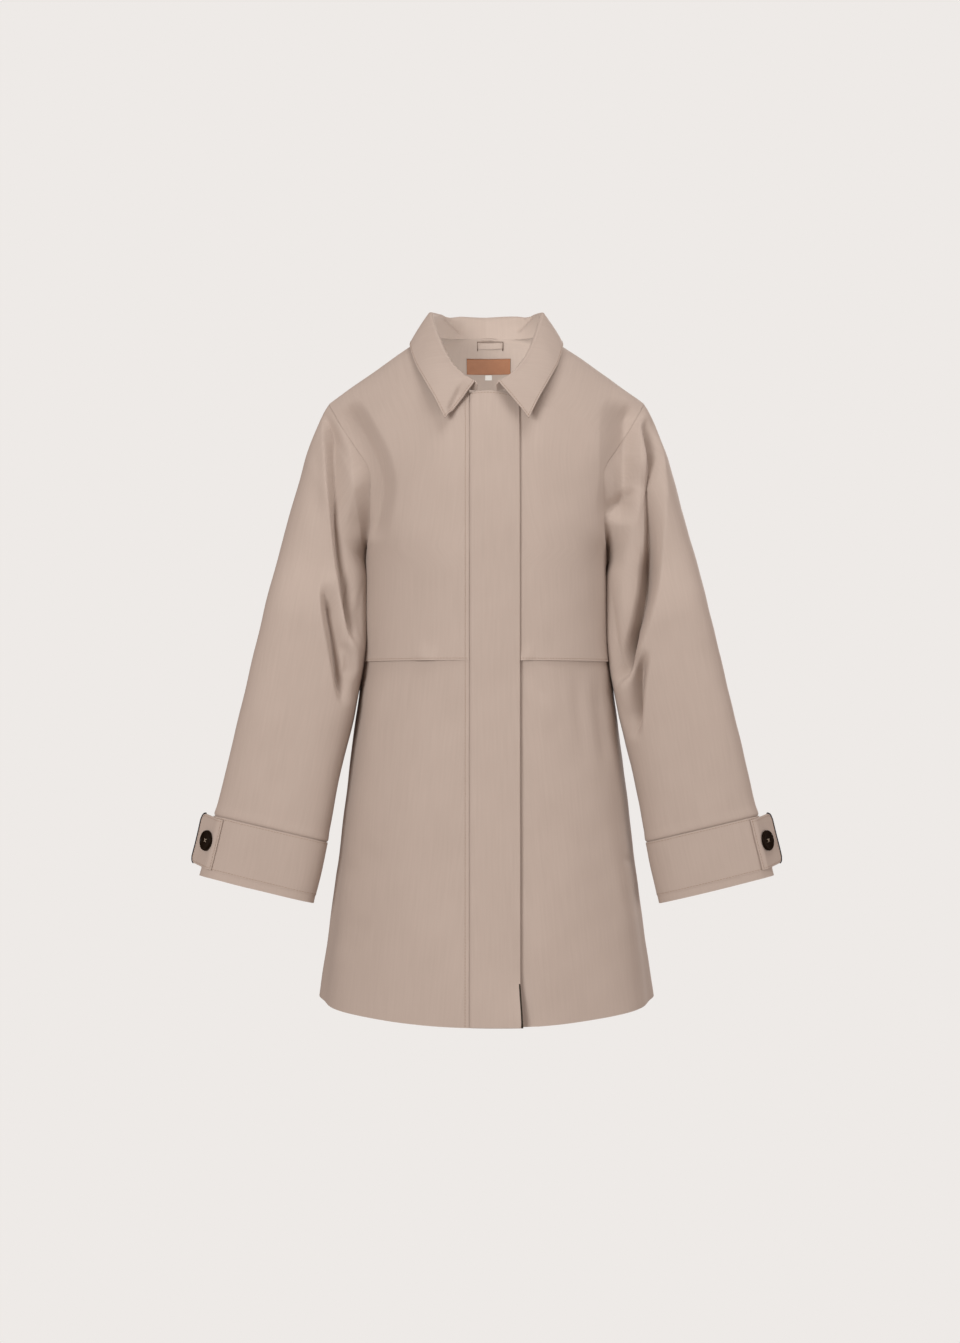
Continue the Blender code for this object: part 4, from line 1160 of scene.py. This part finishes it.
# Places along one stitch, and its height over the cloth there.
STITCH_SHARES = np.array([0, 0.2, 0.8, 1])
STITCH_HEIGHTS = np.array([-0.3, 0.1, 0.1, -0.3]) * MM
THREAD_COLOUR = "#A8917F"
COLLAR_INSET = 2.3 * MM
PLACKET_INSET = 3 * MM
FRONT_INSET = 4.5 * MM
FLAP_INSET = 2.5 * MM
BAND_INSET = 2 * MM
TAB_ROOT_INSET = 2 * MM
TAB_EDGE_INSET = 2.4 * MM


def with_normals(grid):
    """A grid of points with the normal at each."""
    return np.concatenate([grid, normals_of(grid)], axis=2)


def stitched(field, edge, inset):
    """Threads along one edge of a sheet, at a distance in from it, that dip into the cloth at both ends."""
    field = field.swapaxes(0, 1) if edge.endswith("row") else field
    field = field[:, ::-1] if edge.startswith("last") else field
    seam = np.array([along_line(inset, lengths_along(row), row) for row in field])
    along = lengths_along(seam)
    threads = []
    for start in np.arange(STITCH_GAP, along[-1] - STITCH_LENGTH, STITCH_LENGTH + STITCH_GAP):
        on = along_line(start + STITCH_LENGTH * STITCH_SHARES, along, seam)
        threads.append(on[:, :3] + on[:, 3:] * STITCH_HEIGHTS[:, None])
    return threads


threads = []
leaf = with_normals(collar_grid)
leaf[..., :3] += leaf[..., 3:] * COLLAR_WALL / 2
for edge in ("last row", "first column", "last column"):
    threads += stitched(leaf[CROWN * ACROSS_STEPS :], edge, COLLAR_INSET)
threads += stitched(with_normals(placket_grid), "last row", PLACKET_INSET)
threads += stitched(with_normals(front_grids["right"])[: flap_first + 1], "last column", FRONT_INSET)
threads += stitched(with_normals(flap_grids["right"])[: neck_first - flap_first], "last column", FRONT_INSET)
for side in ("right", "left"):
    threads += stitched(with_normals(flap_grids[side]), "first row", FLAP_INSET)
    for edge in ("first row", "last row"):
        threads += stitched(with_normals(closed(band_grids[side])), edge, BAND_INSET)
    tab = with_normals(tab_grids[side])
    tab = tab[:, ::-1] if side == "left" else tab
    threads += stitched(tab, "first column", TAB_ROOT_INSET)
    for edge in ("last column", "first row", "last row"):
        threads += stitched(tab, edge, TAB_EDGE_INSET)
thread = twisted_thread("matching_thread", THREAD_COLOUR, THREAD_TWIST)
cord("stitching", threads, STITCH_RADIUS, thread, STITCH_SIDES)

# Stage: a pale floor well below the hem and an even pale surround, as in a cut-out studio picture.
# A large soft light stands ahead of the coat on the viewer's left, with weaker fill opposite and above,
# one behind for the back, and a small lamp inside the neck.
SURROUND = "#EEEAE7"
SKY_COLOUR = "#F2DACF"
SKY_STRENGTH = 0.39
FLOOR_Z = -1.5
FLOOR_HALF = 30
CAMERA_AHEAD = 2.3
CAMERA_X = -0.0081
CAMERA_Z = -0.4165
IMAGE_ROWS = 1343
PIXEL = 1.25 * MM
SENSOR = 36.0
Softbox = namedtuple("Softbox", "name place aim size watts")
SOFTBOXES = [
    Softbox("key", (-1.7, -3.0, 0.15), (0, 0, -0.45), 1.2, 69),
    Softbox("fill", (2.5, -1.9, -0.6), (0, 0, -0.5), 1.8, 28),
    Softbox("top", (0.5, -0.6, 1.7), (0, 0, -0.1), 1.0, 16),
    Softbox("back", (1.3, 2.8, 0.3), (0, 0, -0.45), 1.8, 55),
    Softbox("neck", (0, -0.06, -0.1), (0, 0.075, -0.03), 0.05, 0.17),
]
corners = [(x * FLOOR_HALF, y * FLOOR_HALF, FLOOR_Z) for x, y in ((-1, -1), (1, -1), (1, 1), (-1, 1))]
floor_mesh = bpy.data.meshes.new("floor")
floor_mesh.from_pydata(corners, [], [(0, 1, 2, 3)])
floor = bpy.data.objects.new("floor", floor_mesh)
bpy.context.scene.collection.objects.link(floor)
paper = bpy.data.materials.new("lit_paper")
paper.use_nodes = True
paint = paper.node_tree
paint.nodes.remove(paint.nodes["Principled BSDF"])
glow = add_node(paint, "ShaderNodeEmission", 0, {"Color": linear(SURROUND), "Strength": 1.0})
paint.links.new(glow, paint.nodes["Material Output"].inputs["Surface"])
floor_mesh.materials.append(paper)
floor.visible_diffuse = floor.visible_glossy = floor.visible_shadow = False

world = bpy.data.worlds.new("studio")
world.use_nodes = True
bpy.context.scene.world = world
sky = world.node_tree
ray = add_node(sky, "ShaderNodeLightPath", "Is Camera Ray", {})
seen = add_node(sky, "ShaderNodeBackground", 0, {"Color": linear(SURROUND), "Strength": 1.0})
cast = add_node(sky, "ShaderNodeBackground", 0, {"Color": linear(SKY_COLOUR), "Strength": SKY_STRENGTH})
both = add_node(sky, "ShaderNodeMixShader", 0, {0: ray, 1: cast, 2: seen})
sky.links.new(both, sky.nodes["World Output"].inputs["Surface"])
for softbox in SOFTBOXES:
    lamp = bpy.data.lights.new(softbox.name, "AREA")
    lamp.energy = softbox.watts
    lamp.size = softbox.size
    light = bpy.data.objects.new(softbox.name, lamp)
    light.location = softbox.place
    light.rotation_mode = "QUATERNION"
    aim = Vector(softbox.aim) - Vector(softbox.place)
    light.rotation_quaternion = aim.to_track_quat("-Z", "Y")
    bpy.context.scene.collection.objects.link(light)

camera_data = bpy.data.cameras.new("camera")
camera_data.sensor_width = SENSOR
camera_data.lens = SENSOR * CAMERA_AHEAD / (IMAGE_ROWS * PIXEL)
camera = bpy.data.objects.new("camera", camera_data)
camera.location = (CAMERA_X, -CAMERA_AHEAD, CAMERA_Z)
camera.rotation_euler = (math.pi / 2, 0, 0)
bpy.context.scene.collection.objects.link(camera)
bpy.context.scene.camera = camera
bpy.context.scene.view_settings.view_transform = "Standard"
